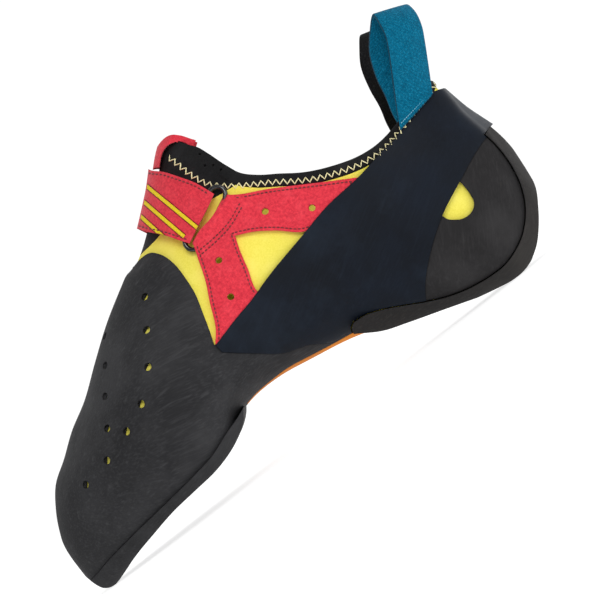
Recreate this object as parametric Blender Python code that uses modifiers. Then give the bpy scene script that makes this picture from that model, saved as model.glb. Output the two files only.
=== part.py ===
"""Left climbing shoe, strongly downturned, with one instep strap.

The shoe stands empty on its toe tip and its heel, unbent.
+X runs from the toe to the heel, -Y is the outer (lateral) side, +Z is up.
The origin lies on the floor, on the heel's flat spot.
"""

import math
from collections import namedtuple

import bpy
import bmesh
from mathutils import Vector
from mathutils.bvhtree import BVHTree

# Driving sizes, in metres
LENGTH = 0.250              # toe to the back of the pull loops
BALL_WIDTH = 0.088          # over the rubber, at the ball of the foot
HEEL_WIDTH = 0.062          # over the rubber, at the heel
INSTEP_HEIGHT = 0.100       # top line where the strap begins
HEEL_HEIGHT = 0.080         # top of the heel band at the back
WALL = 0.0020               # upper
RAND = 0.0017               # thin rubber over the upper
INSOLE = 0.0025
OUTSOLE_DROP = 0.0088       # how far the outsole may reach below the last
OUTSOLE_LIP = 0.0007        # how far its edge stands out sideways
HEEL_DROP = 0.0052
HEEL_BACK = 0.0032
HEEL_LIP = 0.0007
BINDING_WIDTH = 0.0040
BINDING_THICK = 0.0032
STRAP_THICK = 0.0042        # strap folded back on itself
TAB_THICK = 0.0024
TAB_HALF = 0.0110
SEAM_LOW = 0.0018           # the strap's inner part begins here, across the shoe
SEAM_HIGH = 0.0035          # and its outer part ends here
FOLD_START = 0.0044         # the base's fold lies outside this
WEBBING = 0.0018
LOOP_WIDTH = 0.0200
WEB_SLACK = 0.0009          # webbing stitched over the curved heel
RING_WIRE = 0.0010          # radius of the ring's wire
RING_LENGTH = 0.0270
RING_WIDTH = 0.0075
GAP = 0.0003                # between neighbouring pieces

# The heel height as a share of the instep height, on the shoe of the tables
HEEL_SHARE = 0.80

# Place of the origin on the heel's flat spot, as a share of LENGTH from the toe
HEEL_REST = 0.872

# Offsets of the layers from the outer face of the thin rubber
RAND_IN = -RAND
UPPER_OUT = RAND_IN - GAP
UPPER_IN = UPPER_OUT - WALL
INSOLE_OUT = UPPER_IN - GAP
INSOLE_IN = INSOLE_OUT - INSOLE
UPPER_MID = (UPPER_OUT + UPPER_IN) / 2
BIND_OUT = UPPER_MID + BINDING_THICK / 2
BIND_IN = UPPER_MID - BINDING_THICK / 2
STRAP_OUT = RAND_IN + STRAP_THICK

RINGS = 26
AROUND = 22
FIRST_RING = 1.0            # place of the first and last ring between the table rows
LAST_RING = 20.2
REACH = 0.5                 # half length of a cutter across the shoe
TIP_SHARE = 0.4             # of a tip section's half width, for layers inside it
NORMAL_STEP = 0.04
LOOP_SHARES = (0.35, 0.70)  # of a loop's height, where its legs bulge
BULGE_SHARE = 0.6

# Cross-sections of the last, from the toe to the heel. Lengths along the shoe are shares
# of LENGTH, heights are shares of the local height, widths and shifts across are shares
# of BALL_WIDTH in the forefoot and of HEEL_WIDTH behind it.
Section = namedtuple(
    "Section", "sole_x sole_z top_x top_z width centre ridge widest sole_power crown_power")

FOREFOOT = [
    Section(0.0005, 0.150, 0.0005, 0.150, 0.000, 0.180, 0.000, 0.45, 2.2, 2.00),
    Section(0.0068, 0.082, 0.0040, 0.250, 0.210, 0.178, 0.000, 0.45, 2.4, 2.00),
    Section(0.0260, 0.080, 0.0120, 0.310, 0.345, 0.168, 0.015, 0.42, 2.6, 2.10),
    Section(0.0540, 0.088, 0.0285, 0.390, 0.475, 0.150, 0.040, 0.38, 2.8, 2.10),
    Section(0.0960, 0.104, 0.0550, 0.477, 0.635, 0.122, 0.070, 0.35, 3.2, 2.10),
    Section(0.1440, 0.120, 0.0920, 0.540, 0.775, 0.090, 0.095, 0.33, 3.4, 2.10),
    Section(0.2000, 0.139, 0.1320, 0.613, 0.890, 0.058, 0.110, 0.32, 3.5, 2.05),
    Section(0.2640, 0.160, 0.1800, 0.681, 0.980, 0.028, 0.115, 0.32, 3.5, 2.00),
    Section(0.3200, 0.190, 0.2320, 0.778, 1.000, 0.006, 0.112, 0.32, 3.4, 1.95),
    Section(0.3680, 0.240, 0.2880, 0.877, 0.940, -0.005, 0.105, 0.33, 3.2, 1.95),
    Section(0.4120, 0.266, 0.3480, 0.966, 0.860, 0.000, 0.095, 0.36, 2.9, 1.95),
]

REARFOOT = [
    Section(0.4640, 0.266, 0.4040, 1.045, 1.130, 0.014, 0.110, 0.38, 2.6, 1.95),
    Section(0.5200, 0.244, 0.4720, 1.180, 1.060, 0.016, 0.085, 0.36, 2.5, 1.95),
    Section(0.5840, 0.215, 0.5440, 1.335, 1.000, 0.014, 0.055, 0.33, 2.5, 1.95),
    Section(0.6480, 0.170, 0.6280, 1.370, 0.970, 0.007, 0.025, 0.30, 2.5, 1.95),
    Section(0.7160, 0.120, 0.7080, 1.300, 0.970, 0.000, 0.000, 0.28, 2.5, 2.00),
    Section(0.7880, 0.076, 0.7880, 1.210, 1.000, 0.000, 0.000, 0.27, 2.6, 2.00),
    Section(0.8520, 0.046, 0.8600, 1.150, 0.970, 0.000, 0.000, 0.27, 2.6, 2.05),
    Section(0.9040, 0.072, 0.9160, 1.090, 0.840, 0.000, 0.000, 0.30, 2.4, 2.10),
    Section(0.9440, 0.155, 0.9520, 0.980, 0.630, 0.000, 0.000, 0.35, 2.2, 2.10),
    Section(0.9680, 0.290, 0.9590, 0.820, 0.355, 0.000, 0.000, 0.45, 2.1, 2.10),
    Section(0.9792, 0.580, 0.9792, 0.580, 0.000, 0.000, 0.000, 0.45, 2.1, 2.10),
]

# Side outlines. Each point is a share of LENGTH and a share of the local height.
COLLAR = [
    (0.546, 1.370), (0.568, 1.270), (0.573, 1.170), (0.581, 1.111), (0.593, 1.056),
    (0.612, 1.005), (0.644, 0.953), (0.700, 0.860), (0.740, 0.815), (0.780, 0.785),
    (0.812, 0.778), (0.848, 0.790), (0.888, 0.818), (0.928, 0.843), (0.964, 0.865),
    (1.050, 0.880), (1.050, 1.600), (0.546, 1.600),
]

TONGUE = [
    (0.380, 1.080), (0.392, 1.010), (0.432, 1.015), (0.488, 1.040), (0.544, 1.005),
    (0.572, 0.995), (0.592, 0.990), (0.612, 1.060), (0.660, 1.200), (0.640, 1.500),
    (0.450, 1.500),
]

# The table row whose crest carries the tab
TAB_ROW = 13

TAB = [
    (0.508, 1.250), (0.522, 1.256), (0.534, 1.266), (0.548, 1.274), (0.559, 1.264),
    (0.564, 1.242), (0.620, 1.225), (0.620, 1.500), (0.500, 1.500),
]

# The tongue's tip is taken out of the tab only within this outline
TAB_ROOM = [(0.460, 1.150), (0.640, 1.150), (0.640, 1.600), (0.460, 1.600)]

TOE_PATCH = [
    (-0.100, -0.100), (-0.100, 0.980), (0.330, 1.100), (0.379, 0.990), (0.399, 0.996),
    (0.416, 0.988), (0.428, 0.956), (0.437, 0.891), (0.438, 0.822), (0.435, 0.736),
    (0.427, 0.663), (0.418, 0.587), (0.407, 0.525), (0.413, 0.489), (0.454, 0.403),
    (0.491, 0.333), (0.528, 0.301), (0.568, 0.244), (0.568, -0.100),
]

BAND = [
    (0.846, 0.747), (0.816, 0.737), (0.754, 0.711), (0.687, 0.695), (0.632, 0.665),
    (0.540, 0.612), (0.501, 0.582), (0.462, 0.560), (0.412, 0.526), (0.413, 0.489),
    (0.454, 0.403), (0.491, 0.333), (0.528, 0.301), (0.568, 0.244), (0.589, 0.242),
    (0.598, -0.100), (0.708, -0.100), (0.718, 0.130), (0.733, 0.192), (0.778, 0.303),
    (0.825, 0.383), (0.884, 0.452), (0.932, 0.503), (1.020, 0.560), (1.020, 0.789),
    (0.958, 0.789), (0.941, 0.801), (0.899, 0.784), (0.861, 0.763),
]

ARCH = [
    (0.380, 0.100), (0.380, 0.300), (0.420, 0.287), (0.464, 0.285), (0.520, 0.262),
    (0.568, 0.246), (0.600, 0.243), (0.610, 0.050),
]

HEEL_CUP = [
    (0.708, -0.100), (0.718, 0.130), (0.733, 0.192),
    (0.778, 0.303), (0.825, 0.383), (0.884, 0.452), (0.932, 0.503), (1.020, 0.560),
    (1.050, -0.100),
]

INSOLE_SIDE = [
    (0.030, 0.000), (0.030, 0.160), (0.100, 0.215), (0.300, 0.260), (0.380, 0.345),
    (0.464, 0.360), (0.584, 0.310), (0.716, 0.215), (0.800, 0.175), (0.930, 0.190),
    (0.930, 0.000),
]

HALF_MOON = [
    (0.884, 0.452), (0.887, 0.425), (0.887, 0.375), (0.884, 0.341), (0.876, 0.321),
    (0.864, 0.314), (0.850, 0.320), (0.838, 0.338), (0.829, 0.360), (0.825, 0.383),
    (0.810, 0.400), (0.868, 0.470),
]

HEEL_RIM = [
    (0.598, 0.222), (0.600, 0.243), (0.609, 0.260), (0.630, 0.255), (0.656, 0.232),
    (0.686, 0.195), (0.721, 0.148), (0.760, 0.105), (0.796, 0.081), (0.828, 0.071),
    (0.858, 0.072), (0.887, 0.093), (0.911, 0.125), (0.932, 0.172), (0.946, 0.218),
    (0.957, 0.274), (0.965, 0.346), (0.968, 0.429), (0.966, 0.499), (0.963, 0.537),
    (0.981, 0.553), (0.986, 0.500), (0.990, 0.400), (0.987, 0.300), (0.981, 0.250),
    (0.961, 0.172), (0.941, 0.107), (0.921, 0.055), (0.902, 0.022), (0.890, 0.000),
    (0.828, 0.000), (0.800, 0.025), (0.740, 0.075), (0.680, 0.123), (0.640, 0.158),
]

OUTSOLE = [
    (-0.020, 0.072), (0.010, 0.076), (0.054, 0.098), (0.120, 0.124), (0.196, 0.147),
    (0.264, 0.170), (0.300, 0.186), (0.340, 0.222), (0.377, 0.252), (0.386, 0.262),
    (0.376, 0.228), (0.360, 0.194), (0.340, 0.167), (0.300, 0.134), (0.240, 0.115),
    (0.200, 0.104), (0.140, 0.073), (0.100, 0.049), (0.074, 0.028), (0.052, 0.000),
    (-0.020, 0.000),
]

STRAP = [
    (0.300, 1.080), (0.421, 1.108), (0.432, 1.068), (0.449, 1.018), (0.466, 0.959),
    (0.474, 0.926), (0.497, 0.956), (0.529, 0.993), (0.554, 1.028), (0.542, 1.098),
    (0.528, 1.161), (0.513, 1.217), (0.500, 1.252), (0.480, 1.400), (0.300, 1.400),
]

STRAP_INNER_SIDE = [
    (0.300, 1.080), (0.421, 1.108), (0.436, 1.030), (0.447, 0.950), (0.452, 0.760),
    (0.536, 0.720), (0.548, 0.860), (0.546, 1.000), (0.528, 1.161), (0.500, 1.252),
    (0.480, 1.400), (0.300, 1.400),
]

STRAP_BASE = [
    (0.578, 0.968), (0.570, 0.984), (0.531, 0.944), (0.501, 0.930), (0.482, 0.910),
    (0.472, 0.836), (0.462, 0.762), (0.446, 0.678), (0.426, 0.572), (0.412, 0.530),
    (0.440, 0.500), (0.520, 0.560), (0.517, 0.599), (0.527, 0.693), (0.536, 0.780),
    (0.543, 0.827), (0.572, 0.792), (0.600, 0.743), (0.634, 0.672), (0.700, 0.660),
    (0.756, 0.712), (0.712, 0.776), (0.632, 0.894),
]

BASE_FOLD = [
    (0.583, 0.972), (0.572, 0.990), (0.532, 0.950), (0.501, 0.934), (0.481, 0.912),
    (0.486, 0.878), (0.541, 0.902), (0.576, 0.935),
]

RING_SPOT = (0.5220, 0.9620)
RING_TILT = math.radians(25.6)

# Seen from above: the opening under the forefoot that the sole closes, as shares of
# LENGTH and of half the ball width
SOLE_OPENING = [
    (0.110, 0.10), (0.150, 0.42), (0.210, 0.56), (0.280, 0.56), (0.305, 0.34),
    (0.305, -0.40), (0.280, -0.56), (0.210, -0.56), (0.150, -0.30),
]

SOLE_OPENING_LOW = -0.20    # bottom and top of that opening, as shares of the height
SOLE_OPENING_HIGH = 0.30

# Pull loops: place of the front edge, lean of the top, height of the top
Loop = namedtuple("Loop", "name side front foot_z top_z lean bulge")
LOOPS = [
    Loop("pull_loop_lateral", -1, 0.866, 0.745, 1.135, 0.049, 0.0050),
    Loop("pull_loop_medial", 1, 0.856, 0.745, 1.140, 0.038, 0.0050),
]

Colour = namedtuple("Colour", "name rgb roughness metallic")
YELLOW = Colour("yellow_knit", (0.87, 0.77, 0.04), 0.85, 0.0)
CHARCOAL = Colour("charcoal_rubber", (0.042, 0.042, 0.044), 0.75, 0.0)
NAVY = Colour("navy_rubber", (0.021, 0.027, 0.038), 0.60, 0.0)
HEEL_BROWN = Colour("heel_rubber", (0.050, 0.048, 0.046), 0.80, 0.0)
ORANGE = Colour("orange_midsole", (0.61, 0.16, 0.013), 0.70, 0.0)
BLACK_KNIT = Colour("black_stretch_cloth", (0.019, 0.019, 0.020), 0.90, 0.0)
RED = Colour("red_microsuede", (0.73, 0.052, 0.053), 0.85, 0.0)
BLUE = Colour("blue_webbing", (0.004, 0.170, 0.305), 0.55, 0.0)
BLACK_WEB = Colour("black_webbing", (0.016, 0.016, 0.017), 0.80, 0.0)
GLOSS_BLACK = Colour("black_ring_metal", (0.012, 0.012, 0.013), 0.25, 1.0)
GREY_FELT = Colour("grey_insole", (0.180, 0.180, 0.190), 0.90, 0.0)


def rise(x):
    """Local height unit: the instep height in front, the heel height behind."""
    share = min(1.0, max(0.0, (x - 0.55) / 0.30))
    ease = share * share * (3 - 2 * share)
    return INSTEP_HEIGHT + (HEEL_HEIGHT / HEEL_SHARE - INSTEP_HEIGHT) * ease


def along(x):
    return (x - HEEL_REST) * LENGTH


def spot(x, z):
    return Vector((along(x), z * rise(x)))


def sections():
    """The table rows as real sizes."""
    rows = []
    for table, width in ((FOREFOOT, BALL_WIDTH), (REARFOOT, HEEL_WIDTH)):
        for row in table:
            sole = spot(row.sole_x, row.sole_z)
            top = spot(row.top_x, row.top_z)
            rows.append([sole.x, sole.y, top.x, top.y, row.width * width / 2,
                         row.centre * width, row.ridge * width, row.widest,
                         row.sole_power, row.crown_power])
    return rows


ROWS = sections()
LAST_ROW = len(ROWS) - 1


def blend(at):
    """Catmull-Rom blend of the rows at a place between them."""
    at = min(max(at, 0.0), float(LAST_ROW))
    i = min(int(at), LAST_ROW - 1)
    t = at - i
    a, b, c, d = (ROWS[min(max(i + k, 0), LAST_ROW)] for k in (-1, 0, 1, 2))
    out = []
    for p, q, r, s in zip(a, b, c, d):
        out.append(0.5 * (2 * q + (r - p) * t + (2 * p - 5 * q + 4 * r - s) * t * t
                          + (3 * q - p - 3 * r + s) * t ** 3))
    return out


def last_point(at, angle):
    """A point of the last. The angle starts under the sole and passes the inner side."""
    sole_x, sole_z, top_x, top_z, half, centre, ridge, widest, low, high = blend(at)
    up = Vector((top_x - sole_x, 0.0, top_z - sole_z))
    tall = up.length
    across = math.sin(angle)
    upward = -math.cos(angle)
    half = max(half, 1e-6)
    if upward < 0:
        reach, power = max(widest * tall, 1e-6), low
    else:
        reach, power = max((1 - widest) * tall, 1e-6), high
    radius = (abs(across / half) ** power + abs(upward / reach) ** power) ** (-1 / power)
    level = (widest * tall + upward * radius) / max(tall, 1e-6)
    crown = max(0.0, (level - widest) / (1 - widest))
    side = centre + across * radius + ridge * crown * crown
    return Vector((sole_x, side, sole_z)) + up * level


def last_normal(at, angle):
    step = NORMAL_STEP
    lengthwise = last_point(at + step, angle) - last_point(at - step, angle)
    around = last_point(at, angle + step) - last_point(at, angle - step)
    return around.cross(lengthwise).normalized()


def tip_offset(offset, at):
    """An inward offset is at most a share of the section's half width."""
    half = blend(at)[4]
    return max(offset, -TIP_SHARE * half)


def last_mesh(offset, push=(0.0, 0.0, 0.0)):
    """Closed mesh of the last, grown by the offset and pushed aside."""
    bm = bmesh.new()
    push = Vector(push)
    pitch = (LAST_RING - FIRST_RING) / (RINGS - 1)
    places = [FIRST_RING + pitch * i for i in range(RINGS)]
    toe_offset = tip_offset(offset, places[0])
    heel_offset = tip_offset(offset, places[-1])
    toe_vertex = bm.verts.new(last_point(0, 0) + Vector((-toe_offset, 0, 0)) + push)
    rings = []
    for at in places:
        ring = []
        for k in range(AROUND):
            angle = 2 * math.pi * (k + 0.5) / AROUND
            normal = last_normal(at, angle)
            place = last_point(at, angle) + normal * tip_offset(offset, at) + push
            ring.append(bm.verts.new(place))
        rings.append(ring)
    heel_vertex = bm.verts.new(last_point(LAST_ROW, 0) + Vector((heel_offset, 0, 0)) + push)
    for k in range(AROUND):
        n = (k + 1) % AROUND
        bm.faces.new((toe_vertex, rings[0][n], rings[0][k]))
        bm.faces.new((heel_vertex, rings[-1][k], rings[-1][n]))
        for ring, following in zip(rings, rings[1:]):
            bm.faces.new((ring[k], ring[n], following[n], following[k]))
    bmesh.ops.triangulate(bm, faces=bm.faces)
    bmesh.ops.recalc_face_normals(bm, faces=bm.faces)
    mesh = bpy.data.meshes.new("last")
    bm.to_mesh(mesh)
    bm.free()
    return mesh


def clear_scene():
    for item in list(bpy.data.objects):
        bpy.data.objects.remove(item, do_unlink=True)


def collection(name):
    made = bpy.data.collections.new(name)
    bpy.context.scene.collection.children.link(made)
    return made


def material(colour):
    found = bpy.data.materials.get(colour.name)
    if found:
        return found
    made = bpy.data.materials.new(colour.name)
    made.use_nodes = True
    shader = made.node_tree.nodes["Principled BSDF"]
    shader.inputs["Base Color"].default_value = (*colour.rgb, 1.0)
    shader.inputs["Roughness"].default_value = colour.roughness
    shader.inputs["Metallic"].default_value = colour.metallic
    return made


clear_scene()
SHOE = collection("climbing_shoe")
CUTTERS = collection("cutters")
LAYERS = {}


def cutter(name, mesh):
    made = bpy.data.objects.new(name, mesh)
    made.hide_render = True
    made.display_type = "WIRE"
    CUTTERS.objects.link(made)
    return made


def layer(offset, push=(0.0, 0.0, 0.0)):
    """The grown last as a cutter, made once for each offset."""
    key = (round(offset, 6), tuple(round(p, 6) for p in push))
    if key not in LAYERS:
        LAYERS[key] = cutter("last_%d" % len(LAYERS), last_mesh(offset, push))
    return LAYERS[key]


def real(outline):
    return [spot(x, z) for x, z in outline]


def grown(points, distance):
    """The closed outline moved outwards by a distance."""
    area = sum(p.x * q.y - q.x * p.y for p, q in zip(points, points[1:] + points[:1]))
    turn = 1 if area > 0 else -1
    moved = []
    for i, point in enumerate(points):
        before = (point - points[i - 1]).normalized()
        after = (points[(i + 1) % len(points)] - point).normalized()
        out_a = Vector((before.y, -before.x)) * turn
        out_b = Vector((after.y, -after.x)) * turn
        bisector = (out_a + out_b).normalized()
        stretch = 1 / max(0.5, bisector.dot(out_a))
        moved.append(point + bisector * distance * stretch)
    return moved


def prism(name, points, low=-REACH, high=REACH):
    """The side outline as a block across the shoe, from low to high along Y."""
    bm = bmesh.new()
    face = bm.faces.new([bm.verts.new((p.x, low, p.y)) for p in points])
    pulled = bmesh.ops.extrude_face_region(bm, geom=[face])["geom"]
    verts = [v for v in pulled if isinstance(v, bmesh.types.BMVert)]
    bmesh.ops.translate(bm, verts=verts, vec=(0, high - low, 0))
    bmesh.ops.recalc_face_normals(bm, faces=bm.faces)
    mesh = bpy.data.meshes.new(name)
    bm.to_mesh(mesh)
    bm.free()
    return cutter(name, mesh)


def plan_prism(name, outline, low, high):
    """An outline seen from above as a block between two heights."""
    bm = bmesh.new()
    corners = [(along(x), y * BALL_WIDTH / 2, low) for x, y in outline]
    face = bm.faces.new([bm.verts.new(c) for c in corners])
    pulled = bmesh.ops.extrude_face_region(bm, geom=[face])["geom"]
    verts = [v for v in pulled if isinstance(v, bmesh.types.BMVert)]
    bmesh.ops.translate(bm, verts=verts, vec=(0, 0, high - low))
    bmesh.ops.recalc_face_normals(bm, faces=bm.faces)
    mesh = bpy.data.meshes.new(name)
    bm.to_mesh(mesh)
    bm.free()
    return cutter(name, mesh)


def finish(item, colour):
    item.data.materials.clear()
    item.data.materials.append(material(colour))
    item.data.shade_smooth()


def carve(item, steps):
    """Adds a Boolean for each step, in order."""
    for operation, other in steps:
        modifier = item.modifiers.new(operation.lower(), "BOOLEAN")
        modifier.operation = operation
        modifier.solver = "EXACT"
        modifier.object = other
    return item


def piece(name, base, steps, colour):
    """A named part: a copy of a layer's mesh, cut by the steps."""
    item = bpy.data.objects.new(name, base.data.copy())
    item.data.name = name
    SHOE.objects.link(item)
    finish(item, colour)
    return carve(item, steps)


def wall_tree():
    base = layer(0.0).data
    return BVHTree.FromPolygons([v.co.copy() for v in base.vertices],
                                [tuple(p.vertices) for p in base.polygons])


WALL_TREE = wall_tree()


def wall(x, z, side):
    """Point and normal of the outer rubber face, met from that side."""
    start = Vector((x, side * REACH, z))
    place, normal, _, _ = WALL_TREE.ray_cast(start, Vector((0, -side, 0)))
    return place, normal


def ring_points(count=10):
    """A rounded rectangle in its own plane."""
    radius = RING_WIDTH / 2 - RING_WIRE
    half = RING_LENGTH / 2 - RING_WIRE - radius
    points = []
    for end in (1, -1):
        for k in range(count + 1):
            angle = -math.pi / 2 + math.pi * k / count
            points.append((end * (half + radius * math.cos(angle)),
                           end * radius * math.sin(angle)))
    return points


def ring_mesh(name, wire):
    """The ring's wire as a mesh, laid along the outer wall."""
    centre = spot(*RING_SPOT)
    place, normal = wall(centre.x, centre.y, -1)
    length = Vector((math.cos(RING_TILT), 0, math.sin(RING_TILT)))
    length = (length - normal * length.dot(normal)).normalized()
    width = normal.cross(length)
    place = place + normal * (STRAP_OUT + RAND_IN) / 2
    curve = bpy.data.curves.new(name, "CURVE")
    curve.dimensions = "3D"
    curve.bevel_depth = wire
    curve.bevel_resolution = 2
    points = ring_points()
    spline = curve.splines.new("POLY")
    spline.points.add(len(points) - 1)
    for point, (u, v) in zip(spline.points, points):
        point.co = (*(place + length * u + width * v), 1)
    spline.use_cyclic_u = True
    guide = bpy.data.objects.new(name, curve)
    bpy.context.scene.collection.objects.link(guide)
    bpy.context.view_layer.update()
    evaluated = guide.evaluated_get(bpy.context.evaluated_depsgraph_get())
    mesh = bpy.data.meshes.new_from_object(evaluated)
    bpy.data.objects.remove(guide)
    bpy.data.curves.remove(curve)
    bm = bmesh.new()
    bm.from_mesh(mesh)
    bmesh.ops.remove_doubles(bm, verts=bm.verts, dist=1e-6)
    bmesh.ops.recalc_face_normals(bm, faces=bm.faces)
    bm.to_mesh(mesh)
    bm.free()
    return mesh


def loop_piece(loop, colour, columns=7, turns=6):
    """Webbing from the outer face of the heel band, over a fold, to the inner face."""
    front = along(loop.front)
    foot = loop.foot_z * HEEL_HEIGHT / HEEL_SHARE
    top = loop.top_z * HEEL_HEIGHT / HEEL_SHARE
    lip = COLLAR[13][1] * HEEL_HEIGHT / HEEL_SHARE
    half_web = WEBBING / 2
    rows = []
    for k in range(columns):
        x = front + LOOP_WIDTH * k / (columns - 1)
        foot_place, foot_out = wall(x, foot, loop.side)
        waist_place, waist_out = wall(x, (foot + lip) / 2, loop.side)
        lip_place, lip_out = wall(x, lip, loop.side)
        out = Vector((lip_out.x, lip_out.y, 0)).normalized()
        near = half_web + WEB_SLACK
        far = BIND_IN - half_web - WEB_SLACK
        tall = top - lip
        line = [foot_place + foot_out * near, waist_place + waist_out * near,
                lip_place + out * near]
        for share in LOOP_SHARES:
            bulge = loop.bulge * math.sin(math.pi * share) * BULGE_SHARE
            line.append(lip_place + out * (near + bulge) + Vector((0, 0, tall * share)))
        middle = (near + far) / 2
        radius = (near - far) / 2
        for t in range(turns + 1):
            angle = math.pi * t / turns
            line.append(lip_place + out * (middle + radius * math.cos(angle))
                        + Vector((0, 0, tall - radius + radius * math.sin(angle))))
        for share in reversed(LOOP_SHARES):
            bulge = loop.bulge * math.sin(math.pi * share) * BULGE_SHARE
            line.append(lip_place + out * (far - bulge) + Vector((0, 0, tall * share)))
        line.append(lip_place + out * far)
        line.append(waist_place + waist_out * far)
        line.append(foot_place + foot_out * far)
        for point in line:
            lift = max(0.0, point.z - lip) / max(tall, 1e-6)
            point.x += loop.lean * LENGTH * lift
        rows.append(line)
    bm = bmesh.new()
    grid = [[bm.verts.new(point) for point in line] for line in rows]
    for a, b in zip(grid, grid[1:]):
        for k in range(len(a) - 1):
            bm.faces.new((a[k], a[k + 1], b[k + 1], b[k]))
    mesh = bpy.data.meshes.new(loop.name)
    bm.to_mesh(mesh)
    bm.free()
    item = bpy.data.objects.new(loop.name, mesh)
    SHOE.objects.link(item)
    finish(item, colour)
    skin = item.modifiers.new("thickness", "SOLIDIFY")
    skin.thickness = WEBBING
    skin.offset = 0.0
    return item


def build():
    collar = real(COLLAR)
    tongue = real(TONGUE)
    band = real(BAND)
    toe_patch = real(TOE_PATCH)
    heel_cup = real(HEEL_CUP)

    opening = prism("collar_opening", collar)
    edge = prism("collar_edge", grown(collar, BINDING_WIDTH))
    edge_gap = prism("collar_edge_gap", grown(collar, BINDING_WIDTH + GAP))
    tongue_block = prism("tongue_block", tongue)
    tongue_gap = prism("tongue_gap", grown(tongue, GAP))
    band_block = prism("band_block", band)
    band_gap = prism("band_gap", grown(band, GAP))
    toe_block = prism("toe_block", toe_patch)
    sole_hole = plan_prism("sole_opening", SOLE_OPENING, SOLE_OPENING_LOW * INSTEP_HEIGHT,
                           SOLE_OPENING_HIGH * INSTEP_HEIGHT)

    piece("upper", layer(UPPER_OUT),
          [("DIFFERENCE", layer(UPPER_IN)), ("DIFFERENCE", edge_gap),
           ("DIFFERENCE", tongue_gap), ("DIFFERENCE", sole_hole)], YELLOW)

    piece("tongue", layer(UPPER_OUT),
          [("INTERSECT", tongue_block), ("DIFFERENCE", layer(UPPER_IN)),
           ("DIFFERENCE", opening)], BLACK_KNIT)

    piece("collar_binding", layer(BIND_OUT),
          [("INTERSECT", edge), ("DIFFERENCE", opening),
           ("DIFFERENCE", layer(BIND_IN)), ("DIFFERENCE", tongue_gap)], BLACK_KNIT)

    insole_block = prism("insole_block", real(INSOLE_SIDE))
    piece("insole", layer(INSOLE_OUT),
          [("INTERSECT", insole_block), ("DIFFERENCE", layer(INSOLE_IN))], GREY_FELT)

    outsole_block = prism("outsole_block", real(OUTSOLE))
    piece("outsole", layer(OUTSOLE_LIP, (0, 0, -OUTSOLE_DROP)),
          [("INTERSECT", outsole_block), ("DIFFERENCE", layer(GAP))], CHARCOAL)

    arch_block = prism("arch_block", real(ARCH))
    arch_gap = prism("arch_gap", grown(real(ARCH), GAP))
    cup_gap = prism("cup_gap", grown(heel_cup, GAP))
    piece("arch_midsole", layer(0.0),
          [("INTERSECT", arch_block), ("DIFFERENCE", layer(RAND_IN)),
           ("DIFFERENCE", cup_gap)], ORANGE)

    piece("toe_rand", layer(0.0),
          [("INTERSECT", toe_block), ("DIFFERENCE", layer(RAND_IN)),
           ("DIFFERENCE", band_gap), ("DIFFERENCE", arch_gap),
           ("DIFFERENCE", sole_hole)], CHARCOAL)

    piece("tension_rand", layer(0.0),
          [("INTERSECT", band_block), ("DIFFERENCE", layer(RAND_IN)),
           ("DIFFERENCE", arch_gap), ("DIFFERENCE", cup_gap),
           ("DIFFERENCE", edge_gap)], NAVY)

    cup_block = prism("cup_block", heel_cup)
    windows = prism("windows", real(HALF_MOON))
    piece("heel_cup", layer(0.0),
          [("INTERSECT", cup_block), ("DIFFERENCE", layer(RAND_IN)),
           ("DIFFERENCE", windows)], CHARCOAL)

    rim_block = prism("rim_block", real(HEEL_RIM))
    piece("heel_rim", layer(HEEL_LIP, (HEEL_BACK, 0, -HEEL_DROP)),
          [("INTERSECT", rim_block), ("DIFFERENCE", layer(GAP))], HEEL_BROWN)

    channel = cutter("ring_channel", ring_mesh("ring_channel", RING_WIRE + GAP))
    ring = bpy.data.objects.new("ring", ring_mesh("ring", RING_WIRE))
    SHOE.objects.link(ring)
    finish(ring, GLOSS_BLACK)

    base_block = prism("base_block", real(STRAP_BASE), -REACH, 0.0)
    fold_block = prism("fold_block", real(BASE_FOLD), -REACH, -FOLD_START)
    fold = cutter("base_fold", layer(STRAP_OUT).data.copy())
    carve(fold, [("INTERSECT", fold_block)])
    piece("strap_base_lateral", layer(-GAP / 2),
          [("INTERSECT", base_block), ("UNION", fold), ("DIFFERENCE", layer(RAND_IN)),
           ("DIFFERENCE", band_gap), ("DIFFERENCE", channel)], RED)

    outer_block = prism("strap_outer", real(STRAP), -REACH, SEAM_HIGH)
    inner_block = prism("strap_inner", real(STRAP_INNER_SIDE), SEAM_LOW, REACH)
    strap_area = cutter("strap_area", outer_block.data.copy())
    carve(strap_area, [("UNION", inner_block)])
    piece("strap", layer(STRAP_OUT),
          [("INTERSECT", strap_area), ("DIFFERENCE", layer(RAND_IN)),
           ("DIFFERENCE", channel)], RED)

    crest = last_point(TAB_ROW, math.pi).y
    tab_block = prism("tab_block", real(TAB), crest - TAB_HALF, crest + TAB_HALF)
    tab_room = prism("tab_room", real(TAB_ROOM))
    tab_edge = prism("tab_edge", grown(collar, -(GAP + TAB_THICK)))
    tab_slot_edge = prism("tab_slot_edge", grown(collar, -GAP))
    slot = cutter("tab_slot", layer(UPPER_OUT + GAP).data.copy())
    carve(slot, [("INTERSECT", tab_room), ("DIFFERENCE", layer(UPPER_IN - GAP)),
                 ("DIFFERENCE", tab_slot_edge)])
    piece("tongue_tab", layer(UPPER_OUT + GAP + TAB_THICK),
          [("INTERSECT", tab_block), ("DIFFERENCE", layer(UPPER_IN - GAP - TAB_THICK)),
           ("DIFFERENCE", tab_edge), ("DIFFERENCE", slot)], RED)

    loop_piece(LOOPS[0], BLUE)
    loop_piece(LOOPS[1], BLACK_WEB)


build()
bpy.context.view_layer.update()
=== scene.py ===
"""Looks of the left climbing shoe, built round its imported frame.

The last is a table of cross-sections, and a piece is a layer over it, cut along a side
outline. The sizes and the last are those of the CAD nodes, at a finer pitch. Most outlines
are too, but some soft edges follow finer outlines of the scene's own.
+X runs from the toe to the heel, -Y is the outer side, +Z is up, all in metres.
"""

import math
from collections import namedtuple

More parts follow.
